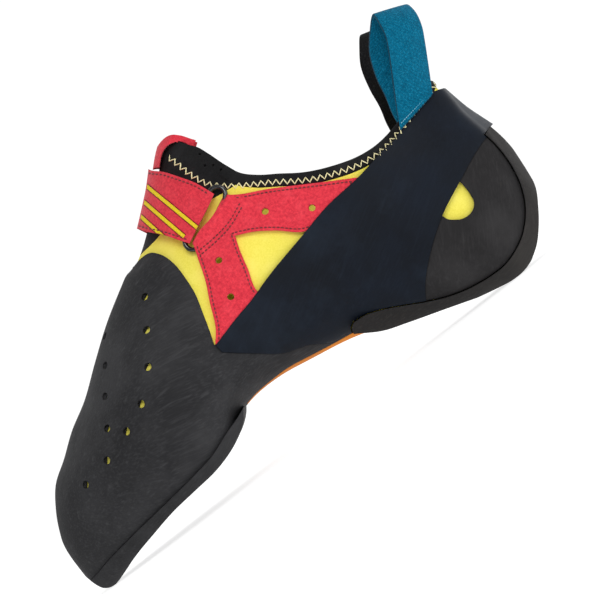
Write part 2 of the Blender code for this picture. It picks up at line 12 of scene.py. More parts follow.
import bmesh
import bpy
import numpy as np
from mathutils import Matrix, Vector
from mathutils.bvhtree import BVHTree


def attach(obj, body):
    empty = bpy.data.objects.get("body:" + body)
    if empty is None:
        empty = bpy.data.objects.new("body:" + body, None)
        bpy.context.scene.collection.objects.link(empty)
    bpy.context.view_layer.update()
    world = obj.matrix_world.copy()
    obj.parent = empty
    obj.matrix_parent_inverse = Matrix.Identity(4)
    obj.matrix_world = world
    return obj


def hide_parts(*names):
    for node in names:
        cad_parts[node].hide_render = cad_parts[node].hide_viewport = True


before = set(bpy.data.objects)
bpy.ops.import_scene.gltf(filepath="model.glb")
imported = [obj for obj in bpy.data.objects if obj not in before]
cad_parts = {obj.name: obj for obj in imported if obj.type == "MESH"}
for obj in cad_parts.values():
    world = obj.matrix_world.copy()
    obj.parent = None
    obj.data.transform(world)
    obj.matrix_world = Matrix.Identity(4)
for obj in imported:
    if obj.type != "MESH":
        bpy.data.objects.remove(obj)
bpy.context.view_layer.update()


# Driving sizes, in metres
LENGTH = 0.25  # toe to the back of the pull loops
BALL_WIDTH = 0.088  # over the rubber, at the ball of the foot
HEEL_WIDTH = 0.062  # over the rubber, at the heel
INSTEP_HEIGHT = 0.1  # top line where the strap begins
HEEL_HEIGHT = 0.08  # top of the heel band at the back
WALL = 0.002  # upper
RAND = 0.0017  # thin rubber over the upper
INSOLE = 0.0025
OUTSOLE_DROP = 0.0088  # how far the outsole may reach below the last
HEEL_DROP = 0.0052
HEEL_BACK = 0.0032
BINDING_WIDTH = 0.004
BINDING_THICK = 0.0032
BINDING_ROOM = BINDING_WIDTH * 0.6  # where the knit stops below the collar line
STRAP_THICK = 0.0042  # strap folded back on itself
TAB_THICK = 0.0024
TAB_HALF = 0.011
SEAM_LOW = 0.0018  # the strap's inner part begins here, across the shoe
SEAM_HIGH = 0.0035  # and its outer part ends here
WEBBING = 0.0018
LOOP_WIDTH = 0.02
RING_WIRE = 0.001  # radius of the ring's wire
RING_LENGTH = 0.027
RING_WIDTH = 0.0075
GAP = 0.0003  # between neighbouring pieces

HEEL_SHARE = 0.8  # heel height over instep height, on the shoe of the tables
HEEL_REST = 0.872  # the origin on the heel's flat spot, from the toe

# Offsets of the layers from the outer face of the thin rubber
RAND_IN = -RAND
UPPER_OUT = RAND_IN - GAP
UPPER_IN = UPPER_OUT - WALL
INSOLE_OUT = UPPER_IN - GAP
INSOLE_IN = INSOLE_OUT - INSOLE
UPPER_MID = (UPPER_OUT + UPPER_IN) / 2
STRAP_OUT = RAND_IN + STRAP_THICK

REACH = 0.5  # half length of a cutter across the shoe
NORMAL_STEP = 0.04

# Cross-sections of the last, from the toe to the heel. Lengths along the shoe are shares
# of LENGTH, heights are shares of the local height, widths and shifts across are shares
# of BALL_WIDTH in the forefoot and of HEEL_WIDTH behind it.
Section = namedtuple(
    "Section", "sole_x sole_z top_x top_z width centre ridge widest sole_power crown_power")

FOREFOOT = [Section(*row) for row in (
    (0.0005, 0.15, 0.0005, 0.15, 0.0, 0.18, 0.0, 0.45, 2.2, 2.0),
    (0.0068, 0.082, 0.004, 0.25, 0.21, 0.178, 0.0, 0.45, 2.4, 2.0),
    (0.026, 0.08, 0.012, 0.31, 0.345, 0.168, 0.015, 0.42, 2.6, 2.1),
    (0.054, 0.088, 0.0285, 0.39, 0.475, 0.15, 0.04, 0.38, 2.8, 2.1),
    (0.096, 0.104, 0.055, 0.477, 0.635, 0.122, 0.07, 0.35, 3.2, 2.1),
    (0.144, 0.12, 0.092, 0.54, 0.775, 0.09, 0.095, 0.33, 3.4, 2.1),
    (0.2, 0.139, 0.132, 0.613, 0.89, 0.058, 0.11, 0.32, 3.5, 2.05),
    (0.264, 0.16, 0.18, 0.681, 0.98, 0.028, 0.115, 0.32, 3.5, 2.0),
    (0.32, 0.19, 0.232, 0.778, 1.0, 0.006, 0.112, 0.32, 3.4, 1.95),
    (0.368, 0.24, 0.288, 0.877, 0.94, -0.005, 0.105, 0.33, 3.2, 1.95),
    (0.412, 0.266, 0.348, 0.966, 0.86, 0.0, 0.095, 0.36, 2.9, 1.95),
)]

REARFOOT = [Section(*row) for row in (
    (0.464, 0.266, 0.404, 1.045, 1.13, 0.014, 0.11, 0.38, 2.6, 1.95),
    (0.52, 0.244, 0.472, 1.18, 1.06, 0.016, 0.085, 0.36, 2.5, 1.95),
    (0.584, 0.215, 0.544, 1.335, 1.0, 0.014, 0.055, 0.33, 2.5, 1.95),
    (0.648, 0.17, 0.628, 1.37, 0.97, 0.007, 0.025, 0.3, 2.5, 1.95),
    (0.716, 0.12, 0.708, 1.3, 0.97, 0.0, 0.0, 0.28, 2.5, 2.0),
    (0.788, 0.076, 0.788, 1.21, 1.0, 0.0, 0.0, 0.27, 2.6, 2.0),
    (0.852, 0.046, 0.86, 1.15, 0.97, 0.0, 0.0, 0.27, 2.6, 2.05),
    (0.904, 0.072, 0.916, 1.09, 0.84, 0.0, 0.0, 0.3, 2.4, 2.1),
    (0.944, 0.155, 0.952, 0.98, 0.63, 0.0, 0.0, 0.35, 2.2, 2.1),
    (0.968, 0.29, 0.959, 0.82, 0.355, 0.0, 0.0, 0.45, 2.1, 2.1),
    (0.9792, 0.58, 0.9792, 0.58, 0.0, 0.0, 0.0, 0.45, 2.1, 2.1),
)]

# Side outlines. Each point is a share of LENGTH and a share of the local height.
TONGUE = [
    (0.38, 1.08), (0.392, 1.01), (0.432, 1.015), (0.488, 1.04), (0.544, 1.005), (0.572, 0.995),
    (0.592, 0.99), (0.612, 1.06), (0.66, 1.2), (0.64, 1.5), (0.45, 1.5),
]

TAB_ROW = 13  # the table row whose crest carries the tab

# The tongue's tip is taken out of the tab only within this outline
TAB_ROOM = [(0.46, 1.15), (0.64, 1.15), (0.64, 1.6), (0.46, 1.6)]

BAND = [
    (0.846, 0.747), (0.816, 0.737), (0.754, 0.711), (0.687, 0.695), (0.632, 0.665),
    (0.54, 0.612), (0.501, 0.582), (0.462, 0.56), (0.412, 0.526), (0.413, 0.489),
    (0.454, 0.403), (0.491, 0.333), (0.528, 0.301), (0.568, 0.244), (0.589, 0.242),
    (0.598, -0.1), (0.708, -0.1), (0.718, 0.13), (0.733, 0.192), (0.778, 0.303), (0.825, 0.383),
    (0.884, 0.452), (0.932, 0.503), (1.02, 0.56), (1.02, 0.789), (0.958, 0.789), (0.941, 0.801),
    (0.899, 0.784), (0.861, 0.763),
]

HEEL_CUP = BAND[16:24] + [(1.05, -0.1)]

INSOLE_SIDE = [
    (0.03, 0.0), (0.03, 0.16), (0.1, 0.215), (0.3, 0.26), (0.38, 0.345), (0.464, 0.36),
    (0.584, 0.31), (0.716, 0.215), (0.8, 0.175), (0.93, 0.19), (0.93, 0.0),
]

HALF_MOON = [
    (0.881, 0.458), (0.8825, 0.433), (0.8825, 0.383), (0.8795, 0.349), (0.8715, 0.329),
    (0.86, 0.321), (0.848, 0.325), (0.837, 0.341), (0.829, 0.36), (0.825, 0.383), (0.81, 0.4),
    (0.868, 0.47),
]

HEEL_RIM = [
    (0.598, 0.222), (0.6, 0.243), (0.609, 0.26), (0.63, 0.255), (0.656, 0.232), (0.686, 0.195),
    (0.721, 0.148), (0.76, 0.105), (0.796, 0.081), (0.828, 0.071), (0.858, 0.072),
    (0.887, 0.093), (0.911, 0.125), (0.932, 0.172), (0.946, 0.218), (0.957, 0.274),
    (0.965, 0.346), (0.968, 0.429), (0.966, 0.499), (0.963, 0.537), (0.981, 0.553),
    (0.986, 0.5), (0.99, 0.4), (0.987, 0.3), (0.981, 0.25), (0.961, 0.172), (0.941, 0.107),
    (0.921, 0.055), (0.902, 0.022), (0.89, 0.0), (0.828, 0.0), (0.8, 0.025), (0.74, 0.075),
    (0.68, 0.123), (0.64, 0.158),
]

OUTSOLE = [
    (-0.02, 0.072), (0.01, 0.076), (0.054, 0.098), (0.12, 0.124), (0.196, 0.147), (0.264, 0.17),
    (0.3, 0.186), (0.34, 0.222), (0.377, 0.252), (0.386, 0.262), (0.376, 0.228), (0.36, 0.194),
    (0.34, 0.167), (0.3, 0.134), (0.24, 0.115), (0.2, 0.104), (0.14, 0.073), (0.1, 0.049),
    (0.074, 0.028), (0.052, 0.0), (-0.02, 0.0),
]

STRAP_SIDE = [
    (0.3, 1.08), (0.421, 1.108), (0.432, 1.068), (0.449, 1.018), (0.466, 0.955), (0.477, 0.914),
    (0.5, 0.943), (0.532, 0.98), (0.557, 1.013), (0.544, 1.095), (0.528, 1.161), (0.513, 1.217),
    (0.5, 1.252), (0.48, 1.4), (0.3, 1.4),
]
STRAP_END = STRAP_SIDE[5:9]

STRAP_INNER_SIDE = [
    (0.3, 1.08), (0.421, 1.108), (0.436, 1.03), (0.447, 0.95), (0.452, 0.76), (0.536, 0.72),
    (0.548, 0.86), (0.546, 1.0), (0.528, 1.161), (0.5, 1.252), (0.48, 1.4), (0.3, 1.4),
]

STRAP_BASE = [
    (0.578, 0.968), (0.57, 0.984), (0.531, 0.944), (0.501, 0.93), (0.482, 0.91), (0.472, 0.836),
    (0.462, 0.762), (0.446, 0.678), (0.426, 0.572), (0.412, 0.53), (0.44, 0.5), (0.52, 0.56),
    (0.517, 0.599), (0.527, 0.693), (0.536, 0.78), (0.543, 0.827), (0.572, 0.792), (0.6, 0.743),
    (0.634, 0.672), (0.7, 0.66), (0.756, 0.712), (0.712, 0.776), (0.632, 0.894),
]

FOLD_EDGE = STRAP_BASE[4:0:-1]
RING_SPOT = (0.522, 0.962)
RING_TILT = math.radians(25.6)

# Seen from above: the opening under the forefoot that the sole closes, as shares of
# LENGTH and of half the ball width
SOLE_OPENING = [
    (0.11, 0.1), (0.15, 0.42), (0.21, 0.56), (0.28, 0.56), (0.305, 0.34), (0.305, -0.4),
    (0.28, -0.56), (0.21, -0.56), (0.15, -0.3),
]
SOLE_OPENING_LOW = -0.2  # bottom and top of that opening, as shares of the height
SOLE_OPENING_HIGH = 0.3

# The scene's own finer outlines, where the shoe's soft edges lie to the millimetre
COLLAR_EDGE = [
    (0.5, 1.345), (0.53, 1.292), (0.543, 1.3), (0.553, 1.298), (0.562, 1.28), (0.574, 1.238),
    (0.5815, 1.212), (0.59, 1.158), (0.6, 1.082), (0.612, 1.017), (0.632, 0.97), (0.66, 0.925),
    (0.7, 0.86), (0.74, 0.815), (0.78, 0.785), (0.812, 0.778), (0.848, 0.79), (0.888, 0.818),
    (0.928, 0.843), (0.964, 0.865), (1.05, 0.88), (1.05, 1.6), (0.5, 1.6),
]
TAB_SIDE = [
    (0.507, 1.254), (0.5125, 1.243), (0.5215, 1.265), (0.531, 1.283), (0.5465, 1.293),
    (0.559, 1.285), (0.565, 1.256), (0.5655, 1.238), (0.569, 1.2115), (0.64, 1.325),
    (0.64, 1.5), (0.48, 1.5), (0.48, 1.254),
]
TOE_SIDE = [
    (-0.1, -0.1), (-0.1, 0.98), (0.33, 1.1), (0.379, 0.99), (0.399, 0.996), (0.416, 0.988),
    (0.428, 0.956), (0.437, 0.891), (0.438, 0.822), (0.435, 0.736), (0.427, 0.663),
    (0.418, 0.587), (0.41, 0.53), (0.44, 0.52), (0.5, 0.42), (0.56, 0.33), (0.59, 0.25),
    (0.59, -0.1),
]
ARCH_SIDE = [
    (0.392, 0.1), (0.392, 0.262), (0.412, 0.272), (0.445, 0.277), (0.478, 0.276),
    (0.525, 0.257), (0.559, 0.242), (0.594, 0.229), (0.612, 0.222), (0.612, 0.05),
]
SOLE_NOSE = [
    (-0.01, 0.2), (-0.003, 0.14), (0.002, 0.105), (0.007, 0.076), (0.0115, 0.045),
    (0.0175, 0.018), (0.027, 0.003), (0.036, 0.0), (0.046, 0.005), (0.056, 0.013),
    (0.074, 0.028), (0.1, 0.048), (0.14, 0.069), (0.2, 0.096), (0.25, 0.098), (0.3, 0.05),
    (0.5, -0.05), (0.5, 0.4), (-0.01, 0.4),
]
HEEL_ROUND = [
    (0.55, 0.2), (0.64, 0.13), (0.7, 0.095), (0.76, 0.052), (0.8, 0.027), (0.832, 0.0105),
    (0.852, 0.0015), (0.87, 0.0), (0.886, 0.006), (0.9, 0.019), (0.921, 0.052), (0.945, 0.105),
    (0.97, 0.18), (1.1, 0.3), (1.1, 0.8), (0.55, 0.8),
]
SOLE_ROOM = OUTSOLE[:10] + [(0.386, -0.1), (-0.1, -0.1), (-0.1, 0.072)]
RIM_ROOM = HEEL_RIM[:20] + [(1.08, 0.59), (1.08, -0.1), (0.598, -0.1)]

SCENE_RINGS = 210  # rings and points of the fine last
SCENE_AROUND = 144
TIP_ROWS = 480.0  # rows that an inner layer stays clear of each tip, per metre of depth
LINE_PITCH = 0.0007  # of the smooth outlines
CORNER = math.radians(40)  # sharper turns of an outline stay corners
SHARP = math.radians(38)  # and sharper folds of a mesh stay edges
BAND_LIFT = 0.0004  # the band lies a little proud of its neighbours
CUP_DROP = 0.0001
HOLE_RADIUS = 0.0016  # perforations of the toe rubber
HOLE_DEPTH = RAND * 1.3
PUNCH_RADIUS = 0.0014  # holes of the red base
PUNCH_DEPTH = RAND * 1.2
KNIT_PUNCH = RAND + WALL * 1.4  # depth of the same holes through the knit behind
THREAD = 0.00028  # radius of the stitching
DASH_PITCH = 0.0017
DASH_LENGTH = 0.00135
EDGE_INSET = 0.0013  # from an edge to its row of stitches
ZIGZAG_PITCH = 0.003
ZIGZAG_HEIGHT = 0.0021
TAPE_DROP = 0.0007  # of the tape below the collar line
TAPE_WIDTH = 0.0058  # collar tape with its sewn edge
TAPE_PITCH = 0.0009
TAPE_SIDES = 20
TAPE_SQUARE = 3.2  # power of its rounded section
TAPE_SHARE = 0.46  # its half thickness, of BINDING_THICK
PRINT_WIDTH = 0.0015  # of the strap's woven stripes
PRINT_LIFT = 0.00012
PIN_RADIUS = 0.0006  # pinholes of the tongue
RING_DROP = 0.0006  # the ring hangs this much in its folds
RING_SPREAD = 0.0018
FOLD_FLAT = 0.0022
FOLD_SLOPE = 0.005  # from the ring to where the fold lies flat
SOLE_LIP = 0.00015
RIM_LIP = 0.0004
SLIT = 0.00012  # half the line between the strap's two plies

# Perforations of the toe rubber, as shares of LENGTH and of the local height
HOLES = [
    (0.273, 0.835), (0.247, 0.736), (0.218, 0.636), (0.191, 0.528), (0.16, 0.427),
    (0.106, 0.401), (0.367, 0.857), (0.338, 0.745), (0.305, 0.623), (0.261, 0.522),
    (0.215, 0.471),
]

PINHOLES = [(0.578, 1.18), (0.584, 1.11), (0.59, 1.075), (0.597, 1.04), (0.573, 1.13)]
PUNCHES = [(0.605, 0.832), (0.668, 0.728), (0.498, 0.79), (0.478, 0.644)]

# The zigzag seam under the collar, from the tongue's tip to the middle of the heel
ZIGZAG = [
    (0.534, 1.262), (0.54, 1.2), (0.548, 1.12), (0.56, 1.058), (0.578, 1.015), (0.602, 0.97),
    (0.635, 0.92), (0.692, 0.825), (0.734, 0.778), (0.777, 0.746), (0.812, 0.738),
    (0.851, 0.755), (0.892, 0.783), (0.932, 0.808), (0.96, 0.832), (0.985, 0.842),
]

# Woven stripes across the strap, each from one end to the other
STRIPES = [
    (0.475, 1.24, 0.503, 0.94), (0.455, 1.205, 0.477, 0.95), (0.437, 1.16, 0.45, 1.0),
]

# Where the strap is two plies, and the seam of the base's fold
STRAP_PLIES = [(0.434, 0.903), (0.585, 1.095), (0.585, 1.5), (0.2, 1.5), (0.2, 0.903)]
FOLD_SEAM = [(0.483, 0.868), (0.512, 0.872), (0.545, 0.884), (0.584, 0.922)]
FOLD_SEAM_ROWS = (0.0, 0.0017)  # how far each of its rows lies below that line
FOLD_SEAM_SLANT = 0.2

# How the walls of heel and toe lead out to their soles: fully from the second share of
# LENGTH on, and not at all at the first
BLEND_LINES = {"sole": SOLE_ROOM, "rim": RIM_ROOM}
SOLE_BLEND = ("sole", 0.386, 0.33)
RIM_BLEND = ("rim", 0.6, 0.66)
BLEND = 0.015  # height over which a wall leads out
SHY = 0.00002  # keeps the two walls that are joined from coinciding
TAPER = 0.0012  # how much thinner the toe rubber's edge is
TAPER_RUN = 0.0045
RIM_GROOVE = 0.0004
HEEL_TAPE = 0.0034  # collar tape behind the loops
RING_STRETCH = 0.0028

# Soft hollows and ridges: from, to, depth and width in metres
Crease = namedtuple("Crease", "x0 z0 x1 z1 depth width")
CREASES = [
    Crease(0.52, 0.33, 0.61, 0.29, -0.0005, 0.003),
    Crease(0.6, 0.56, 0.66, 0.4, -0.0004, 0.008),
    Crease(0.4, 0.9, 0.42, 0.7, -0.0004, 0.004),
    Crease(0.44, 0.82, 0.5, 0.88, 0.0003, 0.004),
    Crease(0.69, 0.3, 0.76, 0.42, -0.0003, 0.01),
]


def rise(x):
    """Local height unit: the instep height in front, the heel height behind."""
    share = min(1.0, max(0.0, (x - 0.55) / 0.30))
    ease = share * share * (3 - 2 * share)
    return INSTEP_HEIGHT + (HEEL_HEIGHT / HEEL_SHARE - INSTEP_HEIGHT) * ease


def along(x):
    return (x - HEEL_REST) * LENGTH


def spot(x, z):
    return Vector((along(x), z * rise(x)))


def sections():
    """The table rows as real sizes."""
    rows = []
    for table, width in ((FOREFOOT, BALL_WIDTH), (REARFOOT, HEEL_WIDTH)):
        for row in table:
            sole = spot(row.sole_x, row.sole_z)
            top = spot(row.top_x, row.top_z)
            rows.append([sole.x, sole.y, top.x, top.y, row.width * width / 2,
                         row.centre * width, row.ridge * width, row.widest,
                         row.sole_power, row.crown_power])
    return rows


ROWS = sections()
LAST_ROW = len(ROWS) - 1


def bend(p, q, r, s, t):
    """Catmull-Rom blend between q and r."""
    return 0.5 * (2 * q + (r - p) * t + (2 * p - 5 * q + 4 * r - s) * t * t
                  + (3 * q - p - 3 * r + s) * t ** 3)


def blend(at):
    """The table's row at a place between its rows."""
    at = min(max(at, 0.0), float(LAST_ROW))
    i = min(int(at), LAST_ROW - 1)
    t = at - i
    a, b, c, d = (ROWS[min(max(i + k, 0), LAST_ROW)] for k in (-1, 0, 1, 2))
    return [bend(p, q, r, s, t) for p, q, r, s in zip(a, b, c, d)]


def last_point(at, angle):
    """A point of the last. The angle starts under the sole and passes the inner side."""
    sole_x, sole_z, top_x, top_z, half, centre, ridge, widest, low, high = blend(at)
    up = Vector((top_x - sole_x, 0.0, top_z - sole_z))
    tall = up.length
    across = math.sin(angle)
    upward = -math.cos(angle)
    half = max(half, 1e-6)
    if upward < 0:
        reach, power = max(widest * tall, 1e-6), low
    else:
        reach, power = max((1 - widest) * tall, 1e-6), high
    radius = (abs(across / half) ** power + abs(upward / reach) ** power) ** (-1 / power)
    level = (widest * tall + upward * radius) / max(tall, 1e-6)
    crown = max(0.0, (level - widest) / (1 - widest))
    side = centre + across * radius + ridge * crown * crown
    return Vector((sole_x, side, sole_z)) + up * level


def last_normal(at, angle):
    step = NORMAL_STEP
    lengthwise = last_point(at + step, angle) - last_point(at - step, angle)
    around = last_point(at, angle + step) - last_point(at, angle - step)
    return around.cross(lengthwise).normalized()


def real(table):
    """A side outline's points in metres."""
    return [spot(x, z) for x, z in table]


def grown(points, distance):
    """The closed outline moved outwards by a distance."""
    area = sum(p.x * q.y - q.x * p.y for p, q in zip(points, points[1:] + points[:1]))
    turn = 1 if area > 0 else -1
    moved = []
    for i, point in enumerate(points):
        before = (point - points[i - 1]).normalized()
        after = (points[(i + 1) % len(points)] - point).normalized()
        out_a = Vector((before.y, -before.x)) * turn
        out_b = Vector((after.y, -after.x)) * turn
        bisector = (out_a + out_b).normalized()
        stretch = 1 / max(0.5, bisector.dot(out_a))
        moved.append(point + bisector * distance * stretch)
    return moved


def smooth_line(points, closed=True, pitch=LINE_PITCH):
    """A smooth line through the points that keeps its sharp corners."""
    count = len(points)
    steps = [points[(i + 1) % count] - points[i] for i in range(count)]
    tangents = []
    for i in range(count):
        before, after = steps[i - 1], steps[i]
        if (not closed and i in (0, count - 1)) or before.angle(after) > CORNER:
            tangents.append(None)
        else:
            mean = before.normalized() * after.length + after.normalized() * before.length
            tangents.append(mean.normalized())
    line = []
    for i in range(count if closed else count - 1):
        step = steps[i]
        size = step.length
        start = (tangents[i] or step.normalized()) * size
        end = (tangents[(i + 1) % count] or step.normalized()) * size
        pieces = max(1, math.ceil(size / pitch))
        for k in range(pieces):
            t = k / pieces
            line.append(points[i] + step * (3 * t * t - 2 * t ** 3)
                        + start * (t - 2 * t * t + t ** 3) + end * (t ** 3 - t * t))
    if not closed:
        line.append(points[-1].copy())
    return line


def outline(table, floor=False):
    """A table's smooth outline in metres, kept above the floor if asked."""
    line = smooth_line(real(table))
    if floor:
        line = [Vector((p.x, max(p.y, 0.0))) for p in line]
    return line


def inside(point, polygon):
    """Whether a point of the side view lies in the polygon."""
    found = False
    for a, b in zip(polygon, polygon[1:] + polygon[:1]):
        if (a.y > point.y) != (b.y > point.y):
            if point.x < a.x + (point.y - a.y) * (b.x - a.x) / (b.y - a.y):
                found = not found
    return found


def relief(points):
    """How far the creases raise or lower each point, seen from the side."""
    rise_of = np.zeros(points.shape[:-1])
    for crease in CREASES:
        start = np.array(spot(crease.x0, crease.z0))
        end = np.array(spot(crease.x1, crease.z1))
        run = end - start
        flat = points[..., (0, 2)] - start
        share = np.clip((flat @ run) / (run @ run), 0, 1)
        away = np.linalg.norm(flat - share[..., None] * run, axis=-1)
        fade = np.sin(np.pi * np.clip(share, 0.02, 0.98))
        rise_of += crease.depth * fade * np.exp(-(away / crease.width) ** 2)
    return rise_of


def last_grid():
    """Points and normals of the fine last, ring by ring."""
    places = np.linspace(0.06, LAST_ROW - 0.06, SCENE_RINGS)
    angles = np.arange(SCENE_AROUND) * 2 * math.pi / SCENE_AROUND
    points = np.array([[last_point(at, a) for a in angles] for at in places])
    normals = np.array([[last_normal(at, a) for a in angles] for at in places])
    points += normals * relief(points)[..., None]
    return places, points, normals


PLACES, GRID, NORMALS = last_grid()
LAYERS = {}
CUTTERS = []


def scene_object(name, mesh):
    made = bpy.data.objects.new(name, mesh)
    bpy.context.scene.collection.objects.link(made)
    return made


def cutter(mesh):
    """A mesh that only cuts; its slots are outside, cut edge and inside."""
    made = scene_object("cutter", mesh)
    while len(mesh.materials) < 3:
        mesh.materials.append(None)
    CUTTERS.append(made)
    return made


def layer(offset, push=(0.0, 0.0, 0.0), swell=None, near=None):
    """The fine last grown by the offset, as a closed mesh, made once."""
    key = (round(offset, 6), tuple(push), swell, near)
    if key in LAYERS:
        return LAYERS[key]
    clear = TIP_ROWS * max(0.0, -offset)
    kept = [i for i, at in enumerate(PLACES) if clear <= at <= LAST_ROW - clear]
    points = GRID[kept] + NORMALS[kept] * offset
    if swell:
        points += NORMALS[kept] * swell(GRID[kept])[..., None]
    tips = [np.array(last_point(0, 0)) - (offset, 0, 0),
            np.array(last_point(LAST_ROW, 0)) + (offset, 0, 0)]
    verts = np.concatenate([points.reshape(-1, 3), tips])
    share = leading(verts, *near)[:, None] if near else 1.0
    verts += share * np.array(push)
    rings, around = len(kept), SCENE_AROUND
    toe, heel = rings * around, rings * around + 1
    faces = []
    for k in range(around):
        n = (k + 1) % around
        faces.append((toe, n, k))
        faces.append((heel, toe - around + k, toe - around + n))
        for r in range(0, toe - around, around):
            faces.append((r + k, r + n, r + around + n, r + around + k))
    mesh = bpy.data.meshes.new("layer")
    mesh.from_pydata(verts.tolist(), [], faces)
    mesh.polygons.foreach_set("material_index", [2 if offset == UPPER_IN else 0] * len(faces))
    outward(mesh)
    LAYERS[key] = cutter(mesh)
    return LAYERS[key]


def away_from(line, points):
    """How far each point lies from a side line, seen from the side."""
    nearest = np.full(points.shape[:-1], 1.0)
    for start, end in zip(line, line[1:]):
        run = np.array(end - start)
        flat = points[..., (0, 2)] - np.array(start)
        share = np.clip((flat @ run) / (run @ run), 0, 1)
        nearest = np.minimum(nearest, np.linalg.norm(flat - share[..., None] * run, axis=-1))
    return nearest


def leading(points, sole, start, end):
    """How far each point of a wall follows the sole below it: fully at the sole's edge."""
    line = outline(BLEND_LINES[sole])
    under = np.zeros(len(points), bool)
    x, z = points[:, 0], points[:, 2]
    for a, b in zip(line, line[1:] + line[:1]):
        if a.y != b.y:
            crosses = ((a.y > z) != (b.y > z)) & (x < a.x + (z - a.y) * (b.x - a.x) / (b.y - a.y))
            under ^= crosses
    away = np.where(under, 0.0, away_from(line + line[:1], points))
    share = np.clip(1 - away / BLEND, 0, 1)
    fade = np.clip((x - along(start)) / (along(end) - along(start)), 0, 1)
    return share * share * (3 - 2 * share) * fade * fade * (3 - 2 * fade)


def led(name, offset, push, near, steps=(), swell=None):
    """The last at an offset, its walls led out to the sole that stands below them."""
    wall = cutter(cut(name, layer(offset - SHY, push, swell, near), steps))
    return cutter(cut(name, layer(offset, swell=swell), [("UNION", wall)]))


def toe_taper(points):
    """The toe rubber thins out towards its upper edge."""
    share = np.clip(away_from(real(TOE_SIDE[2:13]), points) / TAPER_RUN, 0, 1)
    return TAPER * (share * share * (3 - 2 * share) - 1)


def fold_height(points):
    """The base's fold: thick at the ring and flat where it is sewn down."""
    share = np.clip((away_from(real(FOLD_EDGE), points) - FOLD_FLAT) / FOLD_SLOPE, 0, 1)
    return (STRAP_OUT - CUP_DROP) * (1 - share * share * (3 - 2 * share))


def clear_of(point, line, distance):
    """Whether a point of the side view keeps that distance from the line."""
    return away_from(line, np.array((point.x, 0.0, point.y))) > distance


def outward(mesh):
    """Turns a closed mesh so that its faces look out."""
    bm = bmesh.new()
    bm.from_mesh(mesh)
    if bm.calc_volume(signed=True) < 0:
        bmesh.ops.reverse_faces(bm, faces=bm.faces)
    bm.to_mesh(mesh)
    bm.free()


def block(points, low, high, lift):
    """A flat outline pulled into a closed block; lift turns its points into 3-D."""
    count = len(points)
    verts = [lift(p, low) for p in points] + [lift(p, high) for p in points]
    faces = [tuple(range(count)), tuple(range(2 * count - 1, count - 1, -1))]
    faces += [(i, i + count, (i + 1) % count + count, (i + 1) % count) for i in range(count)]
    mesh = bpy.data.meshes.new("block")
    mesh.from_pydata(verts, [], faces)
    mesh.polygons.foreach_set("material_index", [1] * len(faces))
    outward(mesh)
    return cutter(mesh)


def prism(points, low=-REACH, high=REACH):
    """A side outline as a block across the shoe."""
    return block(points, low, high, lambda p, y: (p.x, y, p.y))


def sole_hole():
    """The opening under the forefoot as an upright block."""
    line = smooth_line([Vector((along(x), y * BALL_WIDTH / 2)) for x, y in SOLE_OPENING])
    return block(line, SOLE_OPENING_LOW * INSTEP_HEIGHT, SOLE_OPENING_HIGH * INSTEP_HEIGHT,
                 lambda p, z: (p.x, p.y, z))


def finished(item):
    """The mesh of an object with its modifiers; the object itself is removed."""
    bpy.context.view_layer.update()
    graph = bpy.context.evaluated_depsgraph_get()
    mesh = bpy.data.meshes.new_from_object(item.evaluated_get(graph))
    bpy.data.objects.remove(item)
    return mesh


def within(*others):
    """Steps of a cut that keep what lies inside each cutter."""
    return [("INTERSECT", other) for other in others]


def less(*others):
    """Steps of a cut that take each cutter away."""
    return [("DIFFERENCE", other) for other in others]


def cut(name, base, steps):
    """A closed mesh after each step: an operation and the cutter it uses."""
    item = scene_object(name, base.data.copy())
    for operation, other in steps:
        modifier = item.modifiers.new(operation.lower(), "BOOLEAN")
        modifier.operation = operation
        modifier.solver = "MANIFOLD"
        modifier.object = other
    mesh = finished(item)
    if not mesh.polygons:
        raise ValueError(name + " has no faces left")
    return mesh


def dress(name, mesh, look, slot, node=None, edge=None, inner=None):
    """A finished piece with its material and that of its cut edges, riding on the shoe."""
    piece = scene_object(name, mesh)
    mesh.materials.clear()
    for part in (look, edge or look, inner or look):
        mesh.materials.append(part)
    mesh.shade_smooth()
    mesh.set_sharp_from_angle(angle=SHARP)
    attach(piece, "root")
    if node:
        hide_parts(node)
    return piece


def carve(name, base, steps, *looks, **more):
    """A dressed piece cut from the base."""
    return dress(name, cut(name, base, steps), *looks, **more)


def tree_of(*meshes):
    """One search tree over the meshes."""
    verts, faces = [], []
    for mesh in meshes:
        start = len(verts)
        verts += [v.co.copy() for v in mesh.vertices]
        faces += [tuple(start + i for i in p.vertices) for p in mesh.polygons]
    return BVHTree.FromPolygons(verts, faces)


def skin(tree, point, side):
    """Where the side view's point meets the tree from that side, and the normal there."""
    place, normal, _, _ = tree.ray_cast(Vector((point.x, side * REACH, point.y)),
                                        Vector((0, -side, 0)))
    return place, normal


def circle(radius, sides):
    """A round profile."""
    turns = [2 * math.pi * k / sides for k in range(sides)]
    return [(radius * math.cos(turn), radius * math.sin(turn)) for turn in turns]


def weave_places(mesh, places):
    """Gives each point of a mesh its place on the weave."""
    made = mesh.attributes.new("web", "FLOAT_VECTOR", "POINT")
    made.data.foreach_set("vector", np.array(places, np.float32).ravel())


